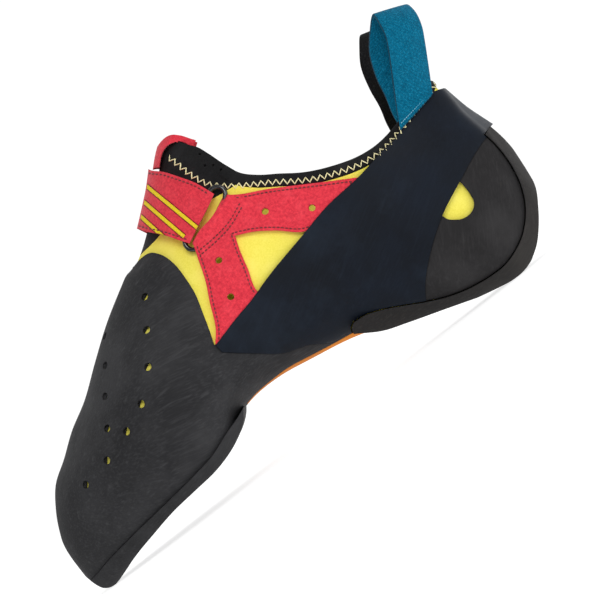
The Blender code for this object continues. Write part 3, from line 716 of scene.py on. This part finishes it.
class Bundle:
    """Many small shapes kept as one mesh."""

    def __init__(self):
        self.verts = []
        self.faces = []
        self.marks = []

    def ring(self, middle, a, b, profile, mark=(0.0, 0.0)):
        """One closed ring of a swept profile."""
        for u, v in profile:
            self.verts.append(middle + a * u + b * v)
            self.marks.append((mark[0], mark[1] + math.hypot(u, v), 0.0))

    def skin_rings(self, start, rings, sides, closed=False):
        """Joins rings of points into a tube, capped unless closed."""
        for r in range(rings if closed else rings - 1):
            for k in range(sides):
                n = (k + 1) % sides
                a, b = start + r * sides, start + ((r + 1) % rings) * sides
                self.faces.append((a + k, a + n, b + n, b + k))
        if not closed:
            self.faces.append(tuple(start + k for k in reversed(range(sides))))
            self.faces.append(tuple(start + (rings - 1) * sides + k for k in range(sides)))

    def tube(self, line, radius, sides=6):
        """A round tube along the points, thinner at its ends."""
        start = len(self.verts)
        side = None
        for i, point in enumerate(line):
            ahead = (line[min(i + 1, len(line) - 1)] - line[max(i - 1, 0)]).normalized()
            if side is None:
                side = ahead.orthogonal()
            side = (side - ahead * side.dot(ahead)).normalized()
            size = radius * (0.45 if i in (0, len(line) - 1) else 1.0)
            self.ring(point, side, ahead.cross(side), circle(size, sides))
        self.skin_rings(start, len(line), sides)

    def pin(self, place, normal, radius, depth, sides=24):
        """A round pin through a surface."""
        side = normal.orthogonal().normalized()
        start = len(self.verts)
        for height in (-depth, depth):
            self.ring(place + normal * height, side, normal.cross(side), circle(radius, sides))
        self.skin_rings(start, 2, sides)

    def mesh(self, name):
        made = bpy.data.meshes.new(name)
        made.from_pydata([tuple(v) for v in self.verts], [], self.faces)
        outward(made)
        weave_places(made, self.marks)
        return made


def walk(points, pitch):
    """The same line with evenly spaced points."""
    lengths = [0.0]
    for a, b in zip(points, points[1:]):
        lengths.append(lengths[-1] + (b - a).length)
    out = []
    place = 0
    for k in range(int(lengths[-1] / pitch) + 1):
        goal = k * pitch
        while place < len(points) - 2 and lengths[place + 1] < goal:
            place += 1
        span = max(lengths[place + 1] - lengths[place], 1e-9)
        out.append(points[place].lerp(points[place + 1], (goal - lengths[place]) / span))
    return out


def on_skin(tree, line, side):
    """The line laid on the tree, as points and normals, without those that miss it."""
    hits = [skin(tree, p, side) for p in line]
    return [(place, normal) for place, normal in hits if place is not None]


def stitch_row(bundle, tree, line, side, keep=None, pitch=DASH_PITCH):
    """Short stitches along a side line, only where keep allows them."""
    marks = walk(line, pitch)
    for a, b in zip(marks, marks[1:]):
        middle = (a + b) / 2
        if (b - a).length > 1.5 * pitch or (keep and not keep(middle)):
            continue
        run = (b - a).normalized() * DASH_LENGTH / 2
        laid = on_skin(tree, [middle - run, middle - run * 0.4, middle + run * 0.4,
                              middle + run], side)
        if len(laid) == 4:
            lifts = (-0.6, 0.35, 0.35, -0.6)
            bundle.tube([p + n * THREAD * k for (p, n), k in zip(laid, lifts)], THREAD)


def zigzag(bundle, tree, line, side, height, pitch):
    """A zigzag seam along a side line, laid on the tree."""
    marks = walk(line, pitch / 4)
    thread = []
    for i in range(1, len(marks) - 1):
        ahead = (marks[i + 1] - marks[i - 1]).normalized()
        swing = (0, 1, 0, -1)[i % 4]
        point = marks[i] + Vector((-ahead.y, ahead.x)) * height / 2 * swing
        place, normal = skin(tree, point, side)
        if place is not None:
            thread.append(place + normal * THREAD * 0.6)
    clean = [thread[0]]
    for point in thread[1:]:
        if (point - clean[-1]).length < 3 * pitch:
            clean.append(point)
    bundle.tube(clean, THREAD)


def srgb(code):
    """A screen colour as the linear colour that shaders take."""
    out = []
    for k in (1, 3, 5):
        value = int(code[k:k + 2], 16) / 255
        out.append(value / 12.92 if value <= 0.04045 else ((value + 0.055) / 1.055) ** 2.4)
    return (*out, 1.0)


def fill(node, **values):
    """Sets a shader node's inputs by name, with _ for a space."""
    for socket, value in values.items():
        node.inputs[socket.replace("_", " ")].default_value = value
    return node


class Look:
    """A procedural material on a Principled shader."""

    def __init__(self, name, roughness, edge=0.0004, **sockets):
        self.material = bpy.data.materials.new(name)
        self.material.use_nodes = True
        self.tree = self.material.node_tree
        self.shader = fill(self.tree.nodes["Principled BSDF"], Roughness=roughness, **sockets)
        self.place = self.node("TexCoord").outputs["Object"]
        bevel = self.node("Bevel", Radius=edge)
        bevel.samples = 4
        self.normal = bevel.outputs["Normal"]

    def node(self, kind, **values):
        return fill(self.tree.nodes.new("ShaderNode" + kind), **values)

    def link(self, source, target):
        self.tree.links.new(source, target)

    def turned(self, angle, stretch):
        """The coordinates turned about the shoe's width, then scaled along each axis."""
        made = self.node("VectorRotate")
        made.rotation_type = "Y_AXIS"
        fill(made, Angle=angle)
        self.link(self.place, made.inputs["Vector"])
        scaled = self.node("VectorMath")
        scaled.operation = "MULTIPLY"
        scaled.inputs[1].default_value = stretch
        self.link(made.outputs["Vector"], scaled.inputs[0])
        return scaled.outputs["Vector"]

    def noise(self, scale, vector=None, detail=4.0, rough=0.6):
        made = self.node("TexNoise", Scale=scale, Detail=detail, Roughness=rough)
        self.link(vector or self.place, made.inputs["Vector"])
        return made.outputs["Fac"]

    def weave(self, width, height, vector):
        """Rows of short crossing threads, light on top and dark between."""
        made = self.node("TexBrick", Color1=(1, 1, 1, 1), Color2=(0.72, 0.72, 0.72, 1),
                         Mortar=(0, 0, 0, 1), Scale=1.0, Mortar_Size=min(width, height) * 0.16,
                         Mortar_Smooth=0.6, Brick_Width=width, Row_Height=height)
        made.offset = 0.5
        self.link(vector, made.inputs["Vector"])
        return made.outputs["Color"]

    def web(self):
        """Lengths along and across a swept piece, in metres."""
        made = self.node("Attribute")
        made.attribute_name = "web"
        return made.outputs["Vector"]

    def range(self, value, low, high, to_low=0.0, to_high=1.0):
        made = self.node("MapRange", From_Min=low, From_Max=high, To_Min=to_low, To_Max=to_high)
        self.link(value, made.inputs["Value"])
        return made.outputs["Result"]

    def mix(self, share, first, second):
        """Blends two colours; the first is a colour or another node's output."""
        made = self.node("Mix")
        made.data_type = "RGBA"
        self.link(share, made.inputs["Factor"])
        a, b = [socket for socket in made.inputs if socket.type == "RGBA"]
        b.default_value = second
        if isinstance(first, bpy.types.NodeSocket):
            self.link(first, a)
        else:
            a.default_value = first
        return [socket for socket in made.outputs if socket.type == "RGBA"][0]

    def shades(self, share, dark, base, *over):
        """Colours from dark to base, and over them each further colour by its own share."""
        colour = self.mix(share, srgb(dark), srgb(base))
        for part, light in over:
            colour = self.mix(part, colour, srgb(light))
        self.link(colour, self.shader.inputs["Base Color"])

    def roughen(self, value, low, high):
        self.link(self.range(value, 0.3, 0.7, low, high), self.shader.inputs["Roughness"])

    def bump(self, height, strength, distance):
        made = self.node("Bump", Strength=strength, Distance=distance)
        self.link(height, made.inputs["Height"])
        self.link(self.normal, made.inputs["Normal"])
        self.normal = made.outputs["Normal"]

    def done(self):
        self.link(self.normal, self.shader.inputs["Normal"])
        return self.material


def rubber(name, dark, base, light, turn, roughness=0.72, marks=0.35, grain=0.25):
    """Sanded rubber: fine scratches one way, dusty clouds and a dry grain."""
    look = Look(name, roughness, edge=0.0005, Specular_IOR_Level=0.12)
    scratch = look.noise(1.0, look.turned(turn, (90, 1300, 1300)), detail=3.0)
    long_scratch = look.noise(1.0, look.turned(turn + 0.12, (35, 520, 520)), detail=2.0)
    clouds = look.noise(38, detail=5.0)
    dust = look.noise(16, detail=6.0, rough=0.65)
    look.shades(look.range(clouds, 0.35, 0.65), dark, base,
                (look.range(dust, 0.47, 0.72, 0.0, 0.75), light),
                (look.range(scratch, 0.48, 0.78, 0.0, marks), light),
                (look.range(long_scratch, 0.58, 0.75, 0.0, marks), light))
    look.roughen(clouds, roughness - 0.08, roughness + 0.1)
    look.bump(scratch, marks, 0.00020)
    look.bump(look.noise(2600, detail=2.0), grain, 0.00006)
    return look.done()


def suede(name, dark, base, light):
    """Brushed microfibre with a mottled nap."""
    look = Look(name, 0.9, edge=0.0005, Specular_IOR_Level=0.15, Sheen_Weight=0.12,
                Sheen_Roughness=0.5)
    nap = look.noise(900, detail=6.0, rough=0.75)
    look.shades(look.range(nap, 0.38, 0.62), dark, base,
                (look.range(look.noise(210), 0.5, 0.72, 0.0, 0.3), light))
    look.bump(nap, 0.55, 0.00022)
    return look.done()


def knit(name, dark, base, light, pitch, roughness=0.9, depth=0.5):
    """Fine stretch cloth with small ribs and a soft nap."""
    look = Look(name, roughness, edge=0.0004, Specular_IOR_Level=0.15, Sheen_Weight=0.05)
    ribs = look.weave(pitch * 2.0, pitch, look.turned(0.6, (1, 1, 1)))
    nap = look.noise(1500, detail=5.0, rough=0.7)
    look.shades(look.range(nap, 0.35, 0.65), dark, base,
                (look.range(look.noise(90), 0.45, 0.7, 0.0, 0.5), light))
    look.bump(ribs, depth * 0.3, 0.0001)
    look.bump(nap, depth, 0.00012)
    return look.done()


def webbing(name, dark, base, light, width=0.0016, height=0.0007):
    """Woven tape: rows of threads along the piece's own length."""
    look = Look(name, 0.75, edge=0.0005, Specular_IOR_Level=0.05, Sheen_Weight=0.02)
    threads = look.weave(width, height, look.web())
    # The fine noise (fuzz) mixes the light colour into the weave as painted glints on the threads;
    # the same noise also bumps the fibres.
    fuzz_and_glints = look.noise(1700, rough=0.7)
    look.shades(threads, dark, base, (look.range(fuzz_and_glints, 0.5, 0.72, 0.0, 0.6), light),
                (look.range(look.noise(300, detail=3.0), 0.52, 0.75, 0.0, 0.4), dark))
    look.bump(threads, 0.7, 0.00015)
    look.bump(fuzz_and_glints, 0.3, 0.0001)
    return look.done()


def thread(name, dark, base):
    """Twisted sewing thread."""
    look = Look(name, 0.7, edge=0.0001, Sheen_Weight=0.2)
    twist = look.noise(3200, detail=3.0)
    look.shades(look.range(twist, 0.35, 0.65), dark, base)
    look.bump(twist, 0.4, 0.00008)
    return look.done()


def gloss(name, base, light):
    """Lacquered metal with faint wear."""
    look = Look(name, 0.22, edge=0.0001, Coat_Weight=0.6, Coat_Roughness=0.08)
    wear = look.noise(700)
    look.shades(look.range(wear, 0.55, 0.75, 0.0, 0.4), base, light)
    look.roughen(wear, 0.16, 0.32)
    return look.done()


MARKS = math.radians(-12.6)  # lie of the sanding marks from the shoe's length
TOE_RUBBER = rubber("toe_rubber", "#242426", "#2B2B2D", "#434345", MARKS, marks=0.5)
SOLE_RUBBER = rubber("sole_rubber", "#242426", "#2A2A2B", "#404042", MARKS + 0.5, marks=0.4)
CUP_RUBBER = rubber("cup_rubber", "#232223", "#292829", "#3D3C3D", MARKS + 1.2, 0.78, 0.3)
BAND_RUBBER = rubber("band_rubber", "#0B1018", "#101722", "#212B38", MARKS + 0.7, 0.55, 0.14, 0.15)
HEEL_RUBBER = rubber("heel_rubber", "#222121", "#2A2828", "#3C3A38", 0.35, 0.8, 0.45)
YELLOW_KNIT = knit("yellow_knit", "#E8DB50", "#F3E664", "#F9ED78", 0.0007, depth=0.4)
LINING = knit("lining", "#B9B08A", "#C9C09A", "#D6CEAC", 0.0009)
BLACK_KNIT = knit("black_knit", "#111112", "#1B1B1C", "#2A2A2C", 0.0009, depth=0.8)
FELT = knit("grey_felt", "#6B6B70", "#7A7A80", "#8A8A90", 0.0010)
RED_SUEDE = suede("red_suede", "#C22A3A", "#E43C4A", "#F0525E")
RED_EDGE = suede("red_cut_edge", "#6E1019", "#8A1722", "#A02030")
ORANGE = rubber("orange_foam", "#C06E14", "#DB831E", "#E89838", 0.2, 0.7, 0.2)
BLUE_WEB = webbing("blue_web", "#00384F", "#006A8D", "#2BA2C4")
BLACK_WEB = webbing("black_web", "#0C0C0D", "#1D1D1E", "#3A3A3D")
CREAM = thread("cream_thread", "#D8CC88", "#FFF6CC")
DARK_RED = thread("dark_red_thread", "#5A0D16", "#74131E")
PRINT = webbing("yellow_weave", "#D9B81C", "#F7DB2C", "#FCE860", 0.0009, 0.0005)
PALE_THREAD = thread("pale_thread", "#6FC4D8", "#B8E4EC")
GLOSS_BLACK = gloss("gloss_black", "#0C0C0D", "#2A2A2C")


def punch_pins(depth):
    """The red base's punched holes, which go through the knit behind it too."""
    tree = tree_of(layer(0.0).data)
    punches = Bundle()
    for x, z in PUNCHES:
        punches.pin(*skin(tree, spot(x, z), -1), PUNCH_RADIUS, depth)
    return cutter(punches.mesh("punches"))


def build_upper():
    collar = outline(COLLAR_EDGE)
    steps = less(layer(UPPER_IN), prism(grown(collar, BINDING_ROOM)),
                 prism(outline(TONGUE)), punch_pins(KNIT_PUNCH), sole_hole())
    carve("upper_knit", layer(UPPER_OUT), steps, YELLOW_KNIT, "upper_knit", "upper",
          inner=LINING)

    pins = Bundle()
    tree = tree_of(layer(UPPER_OUT).data)
    for x, z in PINHOLES:
        for side in (-1, 1):
            pins.pin(*skin(tree, spot(x, z), side), PIN_RADIUS, WALL / 2, sides=10)
    steps = within(prism(outline(TONGUE)))
    steps += less(layer(UPPER_IN), prism(collar), cutter(pins.mesh("pins")))
    tongue = carve("tongue_cloth", layer(UPPER_OUT), steps, BLACK_KNIT, "stretch_cloth",
                   "tongue")

    steps = within(prism(outline(INSOLE_SIDE))) + less(layer(INSOLE_IN))
    carve("insole_felt", layer(INSOLE_OUT), steps, FELT, "insole_felt", "insole")
    return tongue


def build_rubber():
    band_line = outline(BAND)
    band = prism(band_line)
    arch = prism(outline(ARCH_SIDE))
    cup = prism(outline(HEEL_CUP))
    nose = prism(outline(SOLE_NOSE))
    inner = layer(RAND_IN)

    outer_tree = tree_of(layer(0.0).data)
    pins = Bundle()
    for x, z in HOLES:
        for side in (-1, 1):
            place, normal = skin(outer_tree, spot(x, z), side)
            if place is not None:
                facing = (normal + Vector((0, 2 * side, 0))).normalized()
                pins.pin(place, facing, HOLE_RADIUS, HOLE_DEPTH)
    drop = (0, 0, -OUTSOLE_DROP)
    steps = within(prism(outline(TOE_SIDE)))
    steps += less(inner, band, arch, sole_hole(), cutter(pins.mesh("holes")),
                  prism(outline(SOLE_ROOM)))
    carve("toe_rubber", led("toe_wall", 0.0, drop, SOLE_BLEND, within(nose), toe_taper), steps,
          TOE_RUBBER, "rand_rubber", "toe_rand")

    push = (HEEL_BACK, 0, -HEEL_DROP)
    rim_room = prism(grown(outline(RIM_ROOM), RIM_GROOVE))
    carve("heel_band", led("band_wall", BAND_LIFT, push, RIM_BLEND),
          within(band) + less(inner, arch, cup, rim_room),
          BAND_RUBBER, "band_rubber", "tension_rand")
    carve("heel_shell", led("cup_wall", -CUP_DROP, push, RIM_BLEND),
          within(cup) + less(inner, rim_room, prism(outline(HALF_MOON))),
          CUP_RUBBER, "rand_rubber", "heel_cup")
    carve("arch_layer", layer(0.0), within(arch) + less(inner, cup),
          ORANGE, "midsole_orange", "arch_midsole")
    carve("sole_forefoot", layer(SOLE_LIP, drop),
          within(prism(outline(OUTSOLE, floor=True)), nose) + less(inner),
          SOLE_RUBBER, "rand_rubber", "outsole")
    carve("heel_edge", layer(RIM_LIP, push),
          within(prism(outline(HEEL_RIM, floor=True)), prism(outline(HEEL_ROUND))) + less(inner),
          HEEL_RUBBER, "heel_rubber", "heel_rim")
    return band_line, band


def ring_frame():
    """The ring's middle, length, width and way out from the wall."""
    place, normal = skin(tree_of(layer(0.0).data), spot(*RING_SPOT) - Vector((0, RING_DROP)), -1)
    length = Vector((math.cos(RING_TILT), 0, math.sin(RING_TILT)))
    length = (length - normal * length.dot(normal)).normalized()
    middle = place + normal * (STRAP_OUT + RAND_IN) / 2
    return middle, length, normal.cross(length), normal


def ring_bundle(wire, sides=16, turns=24):
    """The ring's wire as one closed tube."""
    middle, length, width, normal = ring_frame()
    radius = (RING_WIDTH + RING_SPREAD) / 2 - RING_WIRE
    half = (RING_LENGTH + RING_STRETCH) / 2 - RING_WIRE - radius
    bundle = Bundle()
    for end in (1, -1):
        for k in range(turns + 1):
            angle = -math.pi / 2 + math.pi * k / turns
            out = length * math.cos(angle) * end + width * math.sin(angle) * end
            centre = middle + length * half * end + out * radius
            bundle.ring(centre, out, normal, circle(wire, sides))
    bundle.skin_rings(0, 2 * (turns + 1), sides, closed=True)
    return bundle


def build_strap(band_line, band):
    channel = cutter(ring_bundle(RING_WIRE + GAP).mesh("channel"))
    dress("strap_ring", ring_bundle(RING_WIRE).mesh("strap_ring"), GLOSS_BLACK,
          "ring_metal", "ring")

    inner = layer(RAND_IN)
    base_line = outline(STRAP_BASE)
    steps = within(prism(base_line, -REACH, 0.0))
    steps += less(inner, band, channel, punch_pins(PUNCH_DEPTH))
    base = carve("strap_anchor", layer(-CUP_DROP, swell=fold_height), steps, RED_SUEDE,
                 "strap_suede", "strap_base_lateral", edge=RED_EDGE)

    strap_line = outline(STRAP_SIDE)
    area = cutter(cut("strap_area", prism(strap_line, -REACH, SEAM_HIGH), [
        ("UNION", prism(outline(STRAP_INNER_SIDE), SEAM_LOW, REACH))]))
    middle = (RAND_IN + STRAP_OUT) / 2
    slit = cutter(cut("slit", layer(middle + SLIT),
                      less(layer(middle - SLIT)) + within(prism(real(STRAP_PLIES)))))
    strap = carve("instep_strap", layer(STRAP_OUT), within(area) + less(inner, channel, slit),
                  RED_SUEDE, "strap_suede", "strap", edge=RED_EDGE)

    for i, (x0, z0, x1, z1) in enumerate(STRIPES):
        for name, look, wide, lift in (("stripe", PRINT, 1.0, 1.0), ("border", RED_EDGE, 1.5, 0.5)):
            start, end = spot(x0, z0), spot(x1, z1)
            side = (end - start).normalized().orthogonal() * PRINT_WIDTH * wide / 2
            corners = [start + side, end + side, end - side, start - side]
            mesh = cut(name, layer(STRAP_OUT + PRINT_LIFT * lift),
                       within(prism(corners, -REACH, 0.0), area)
                       + less(layer(STRAP_OUT - PRINT_LIFT)))
            weave_places(mesh, [(v.co.x, v.co.z, 0.0) for v in mesh.vertices])
            dress("strap_%s_%d" % (name, i), mesh, look, "strap_suede")

    base_tree = tree_of(base.data)
    seams = Bundle()
    inset = grown(base_line, -EDGE_INSET)
    stitch_row(seams, base_tree, inset + inset[:1], -1,
               keep=lambda p: (not inside(p, band_line) and inside(p, base_line)
                               and clear_of(p, real(FOLD_EDGE), SEAM_CLEAR)))
    for step in FOLD_SEAM_ROWS:
        row = smooth_line([Vector((p.x - step * FOLD_SEAM_SLANT, p.y - step))
                           for p in real(FOLD_SEAM)], closed=False)
        stitch_row(seams, base_tree, row, -1, keep=lambda p: inside(p, base_line))
    inset = grown(strap_line, -EDGE_INSET)
    stitch_row(seams, tree_of(strap.data), inset + inset[:1], -1,
               keep=lambda p: (inside(p, strap_line)
                               and clear_of(p, real(STRAP_END), SEAM_CLEAR)))
    dress("strap_seams", seams.mesh("strap_seams"), DARK_RED, "strap_suede")


def build_tab():
    collar = outline(COLLAR_EDGE)
    crest = last_point(TAB_ROW, math.pi).y
    slot = cutter(cut("tab_slot", layer(UPPER_OUT + GAP),
                      within(prism(real(TAB_ROOM)))
                      + less(layer(UPPER_IN - GAP), prism(grown(collar, -GAP)))))
    steps = within(prism(outline(TAB_SIDE), crest - TAB_HALF, crest + TAB_HALF))
    steps += less(layer(UPPER_IN - GAP - TAB_THICK),
                  prism(grown(collar, -(GAP + TAB_THICK))), slot)
    carve("tongue_tape", layer(UPPER_OUT + GAP + TAB_THICK), steps,
          RED_SUEDE, "strap_suede", "tongue_tab", edge=RED_EDGE)


def collar_path(line, tree):
    """The collar's edge from the outer side round the heel to the inner side."""
    run = [p for p in line if COLLAR_FROM < p.x < COLLAR_TO and p.y < COLLAR_TOP]
    outer = on_skin(tree, run, -1)
    inner = on_skin(tree, run, 1)
    return outer + inner[::-1]


def build_binding(tongue):
    line = outline(COLLAR_EDGE)
    tree = tree_of(layer(UPPER_MID).data)
    path = collar_path(line, tree)
    points = walk([p for p, _ in path], TAPE_PITCH)
    bundle = Bundle()
    power = 2 / TAPE_SQUARE
    for i, point in enumerate(points):
        ahead = (points[min(i + 1, len(points) - 1)] - points[max(i - 1, 0)]).normalized()
        normal = min(path, key=lambda item: (item[0] - point).length_squared)[1]
        normal = (normal - ahead * normal.dot(ahead)).normalized()
        down = normal.cross(ahead)
        if down.z > 0:
            down = -down
        wide = float(np.interp(point.x, TAPE_NARROWS, (TAPE_WIDTH, HEEL_TAPE)))
        profile = []
        for k in range(TAPE_SIDES):
            angle = 2 * math.pi * k / TAPE_SIDES
            c, s = math.cos(angle), math.sin(angle)
            profile.append((math.copysign(abs(c) ** power, c) * BINDING_THICK * TAPE_SHARE,
                            math.copysign(abs(s) ** power, s) * wide / 2))
        drop = float(np.interp(point.x, TAPE_DROPS, (0.0, TAPE_DROP)))
        bundle.ring(point + down * (wide / 2 + drop), normal, down, profile, (i * TAPE_PITCH, 0.0))
    bundle.skin_rings(0, len(points), TAPE_SIDES)
    binding = dress("collar_tape", bundle.mesh("collar_tape"), BLACK_KNIT, "stretch_cloth",
                    "collar_binding")

    near = [bpy.data.objects[name] for name in ("upper_knit", "heel_band")]
    seat = tree_of(*(piece.data for piece in [binding, tongue] + near))
    seam = Bundle()
    zig = smooth_line(real(ZIGZAG), closed=False)
    for side in (-1, 1):
        zigzag(seam, seat, zig, side, ZIGZAG_HEIGHT, ZIGZAG_PITCH)
    dress("collar_zigzag", seam.mesh("collar_zigzag"), CREAM, "stretch_cloth")


def loop_line(side, share, tree):
    """One thread of a pull loop, from its foot outside over the top to its foot inside."""
    lip = COLLAR_EDGE[-5][1] * HEEL_HEIGHT / HEEL_SHARE
    points = []
    wall = None
    for row in LOOP_ROWS:
        x = row.front_x + (row.back_x - row.front_x) * share
        z = row.front_z + (row.back_z - row.front_z) * share
        if side > 0:
            x -= INNER_LOOP_SHIFT + INNER_LOOP_LEAN * (z - LOOP_FOOT) ** 2
            z = LOOP_FOOT + (z - LOOP_FOOT) * INNER_LOOP_TALL
        place = spot(x, z)
        if place.y < lip:
            wall = skin(tree, place, side)[0].y
        y = wall if place.y < lip else edge_y(side, share, tree)
        points.append(Vector((place.x, y + side * row.out, place.y)))
    return spline(points, 7)


def edge_y(side, share, tree):
    """Where the heel's wall ends below the loop's thread, across the shoe."""
    row = LOOP_ROWS[1]
    x = row.front_x + (row.back_x - row.front_x) * share
    return skin(tree, spot(x, row.front_z), side)[0].y


def spline(points, pieces):
    """A smooth line through 3-D points."""
    line = []
    last = len(points) - 1
    for i in range(last):
        four = [points[min(max(i + k, 0), last)] for k in (-1, 0, 1, 2)]
        line += [bend(*four, k / pieces) for k in range(pieces)]
    line.append(points[-1])
    return line


def build_loop(node, side, look, slot, name):
    """A pull loop as a sheet of webbing with a real thickness."""
    tree = tree_of(layer(0.0).data)
    lines = [loop_line(side, k / (LOOP_LINES - 1), tree) for k in range(LOOP_LINES)]
    verts, marks = [], []
    for k, line in enumerate(lines):
        run = 0.0
        for i, point in enumerate(line):
            run += (point - line[i - 1]).length if i else 0.0
            verts.append(tuple(point))
            marks.append((run, LOOP_WIDTH * k / (LOOP_LINES - 1), 0.0))
    tall = len(lines[0])
    faces = [(k * tall + i, k * tall + i + 1, (k + 1) * tall + i + 1, (k + 1) * tall + i)
             for k in range(LOOP_LINES - 1) for i in range(tall - 1)]
    mesh = bpy.data.meshes.new(name)
    mesh.from_pydata(verts, [], faces)
    weave_places(mesh, marks)
    item = scene_object(name + "_sheet", mesh)
    thickness = item.modifiers.new("thickness", "SOLIDIFY")
    thickness.thickness = WEBBING
    thickness.offset = 0.0
    bevel = item.modifiers.new("edges", "BEVEL")
    bevel.width = WEBBING * 0.35
    bevel.segments = 3
    piece = dress(name, finished(item), look, slot, node)
    return lines


def build_loops():
    lines = build_loop("pull_loop_lateral", -1, BLUE_WEB, "blue_webbing", "loop_outer_side")
    build_loop("pull_loop_medial", 1, BLACK_WEB, "black_webbing", "loop_inner_side")
    seam = Bundle()
    for k in range(1, len(lines) - 2):
        start = lines[k][LOOP_STITCH] - Vector((0, WEBBING / 2, 0))
        run = lines[k + 1][LOOP_STITCH] - lines[k][LOOP_STITCH]
        seam.tube([start, start + run * 0.6], THREAD)
    dress("loop_seam", seam.mesh("loop_seam"), PALE_THREAD, "blue_webbing")


def build_world():
    """A white backdrop behind the shoe and a dimmer room in front of it."""
    world = bpy.data.worlds.new("soft_white")
    world.use_nodes = True
    tree = world.node_tree
    toward = tree.nodes.new("ShaderNodeSeparateXYZ")
    strength = fill(tree.nodes.new("ShaderNodeMapRange"), From_Min=-0.3, From_Max=0.6,
                    To_Min=FRONT_LIGHT, To_Max=BACKDROP_LIGHT)
    place = tree.nodes.new("ShaderNodeTexCoord")
    tree.links.new(place.outputs["Generated"], toward.inputs["Vector"])
    tree.links.new(toward.outputs["Y"], strength.inputs["Value"])
    tree.links.new(strength.outputs["Result"], tree.nodes["Background"].inputs["Strength"])
    tree.nodes["Background"].inputs["Color"].default_value = (1, 1, 1, 1)
    bpy.context.scene.world = world


def build_stage():
    """Pale floor, soft lights and the camera at the photo's angle."""
    bm = bmesh.new()
    bmesh.ops.create_grid(bm, x_segments=2, y_segments=2, size=FLOOR_SIZE)
    mesh = bpy.data.meshes.new("floor")
    bm.to_mesh(mesh)
    bm.free()
    floor = scene_object("floor", mesh)
    look = Look("pale_floor", 0.9, edge=0.0001, Specular_IOR_Level=0.1,
                Emission_Color=(1, 1, 1, 1), Emission_Strength=FLOOR_GLOW)
    look.shades(look.noise(4), "#B4B4B4", "#BABABA")
    mesh.materials.append(look.done())

    build_world()

    turn = math.radians(PHOTO_ROLL)
    right = Vector((math.cos(turn), 0, -math.sin(turn)))
    up = Vector((math.sin(turn), 0, math.cos(turn)))
    back = Vector((0, -1, 0))
    target = Vector(CAMERA_TARGET)
    for light in LIGHTS:
        data = bpy.data.lights.new(light.name, "AREA")
        data.energy = light.power
        data.size = light.size
        lamp = bpy.data.objects.new(light.name, data)
        bpy.context.scene.collection.objects.link(lamp)
        lamp.location = target + right * light.right + up * light.up + back * light.back
        lamp.rotation_euler = (target - lamp.location).to_track_quat("-Z", "Y").to_euler()

    lens = bpy.data.cameras.new("camera")
    lens.sensor_width = SENSOR
    lens.lens = SENSOR * CAMERA_AWAY / FRAME_WIDTH
    lens.clip_start = 0.01
    camera = bpy.data.objects.new("camera", lens)
    bpy.context.scene.collection.objects.link(camera)
    view = Matrix.Identity(4)
    for i in range(3):
        view[i][0], view[i][1], view[i][2] = right[i], up[i], back[i]
        view[i][3] = (target + back * CAMERA_AWAY)[i]
    camera.matrix_world = view
    bpy.context.scene.camera = camera
    bpy.context.scene.view_settings.view_transform = "Standard"


COLLAR_FROM = along(0.6)  # the binding begins behind the tongue
COLLAR_TO = along(1.04)
COLLAR_TOP = rise(0) * 1.1  # the collar line's closing points lie above this
TAPE_NARROWS = (along(0.915), along(0.945))
TAPE_DROPS = (COLLAR_FROM, along(0.68))
SEAM_CLEAR = 0.0022  # rows of stitches end this far from a fold

# A pull loop from its outer foot over the top to its inner foot: the front and the back
# edge of the webbing, seen from the side, and how far it lies out from the heel's wall
LoopRow = namedtuple("LoopRow", "front_x front_z back_x back_z out")
LOOP_ROWS = [LoopRow(*row) for row in (
    (0.856, 0.758, 0.9346, 0.795, 0.0018),
    (0.876, 0.848, 0.9465, 0.853, 0.0018),
    (0.9, 0.953, 0.96, 0.915, 0.0026),
    (0.9185, 1.035, 0.976, 0.988, 0.0034),
    (0.9297, 1.092, 0.987, 1.043, 0.0034),
    (0.935, 1.15, 0.993, 1.1, 0.0016),
    (0.936, 1.192, 0.9915, 1.145, -0.003),
    (0.92, 1.158, 0.985, 1.108, -0.0076),
    (0.896, 1.085, 0.965, 1.035, -0.009),
    (0.8805, 0.99, 0.948, 0.945, -0.0088),
    (0.873, 0.905, 0.94, 0.89, -0.0072),
    (0.864, 0.83, 0.938, 0.835, -0.0064),
    (0.86, 0.762, 0.9346, 0.795, -0.0064),
)]
LOOP_FOOT = 0.76
LOOP_LINES = 21  # threads that make up the webbing
LOOP_STITCH = 2  # point of each thread where the foot is sewn
INNER_LOOP_SHIFT = 0.008  # the inner loop stands ahead of the outer one
INNER_LOOP_LEAN = 0.095
INNER_LOOP_TALL = 0.965
FLOOR_SIZE = 3.0
PHOTO_ROLL = 37.6  # degrees that the camera rolls, as the photo shows the shoe
CAMERA_TARGET = (-0.0774, 0.0, 0.0464)
CAMERA_AWAY = 1.3
FRAME_WIDTH = 0.246  # seen across the picture at the shoe
SENSOR = 36.0
BACKDROP_LIGHT = 1.05
FRONT_LIGHT = 0.25
FLOOR_GLOW = 0.75
Light = namedtuple("Light", "name right up back power size")
LIGHTS = [
    Light("key_light", -0.35, 0.9, 1.3, 14.0, 0.9),
    Light("side_light", 1.1, 0.7, 0.6, 6.0, 0.8),
    Light("back_light", 0.4, 0.9, -0.9, 4.0, 0.8),
]


tongue_piece = build_upper()
build_strap(*build_rubber())
build_tab()
build_binding(tongue_piece)
build_loops()
for used in CUTTERS:
    bpy.data.objects.remove(used)
build_stage()
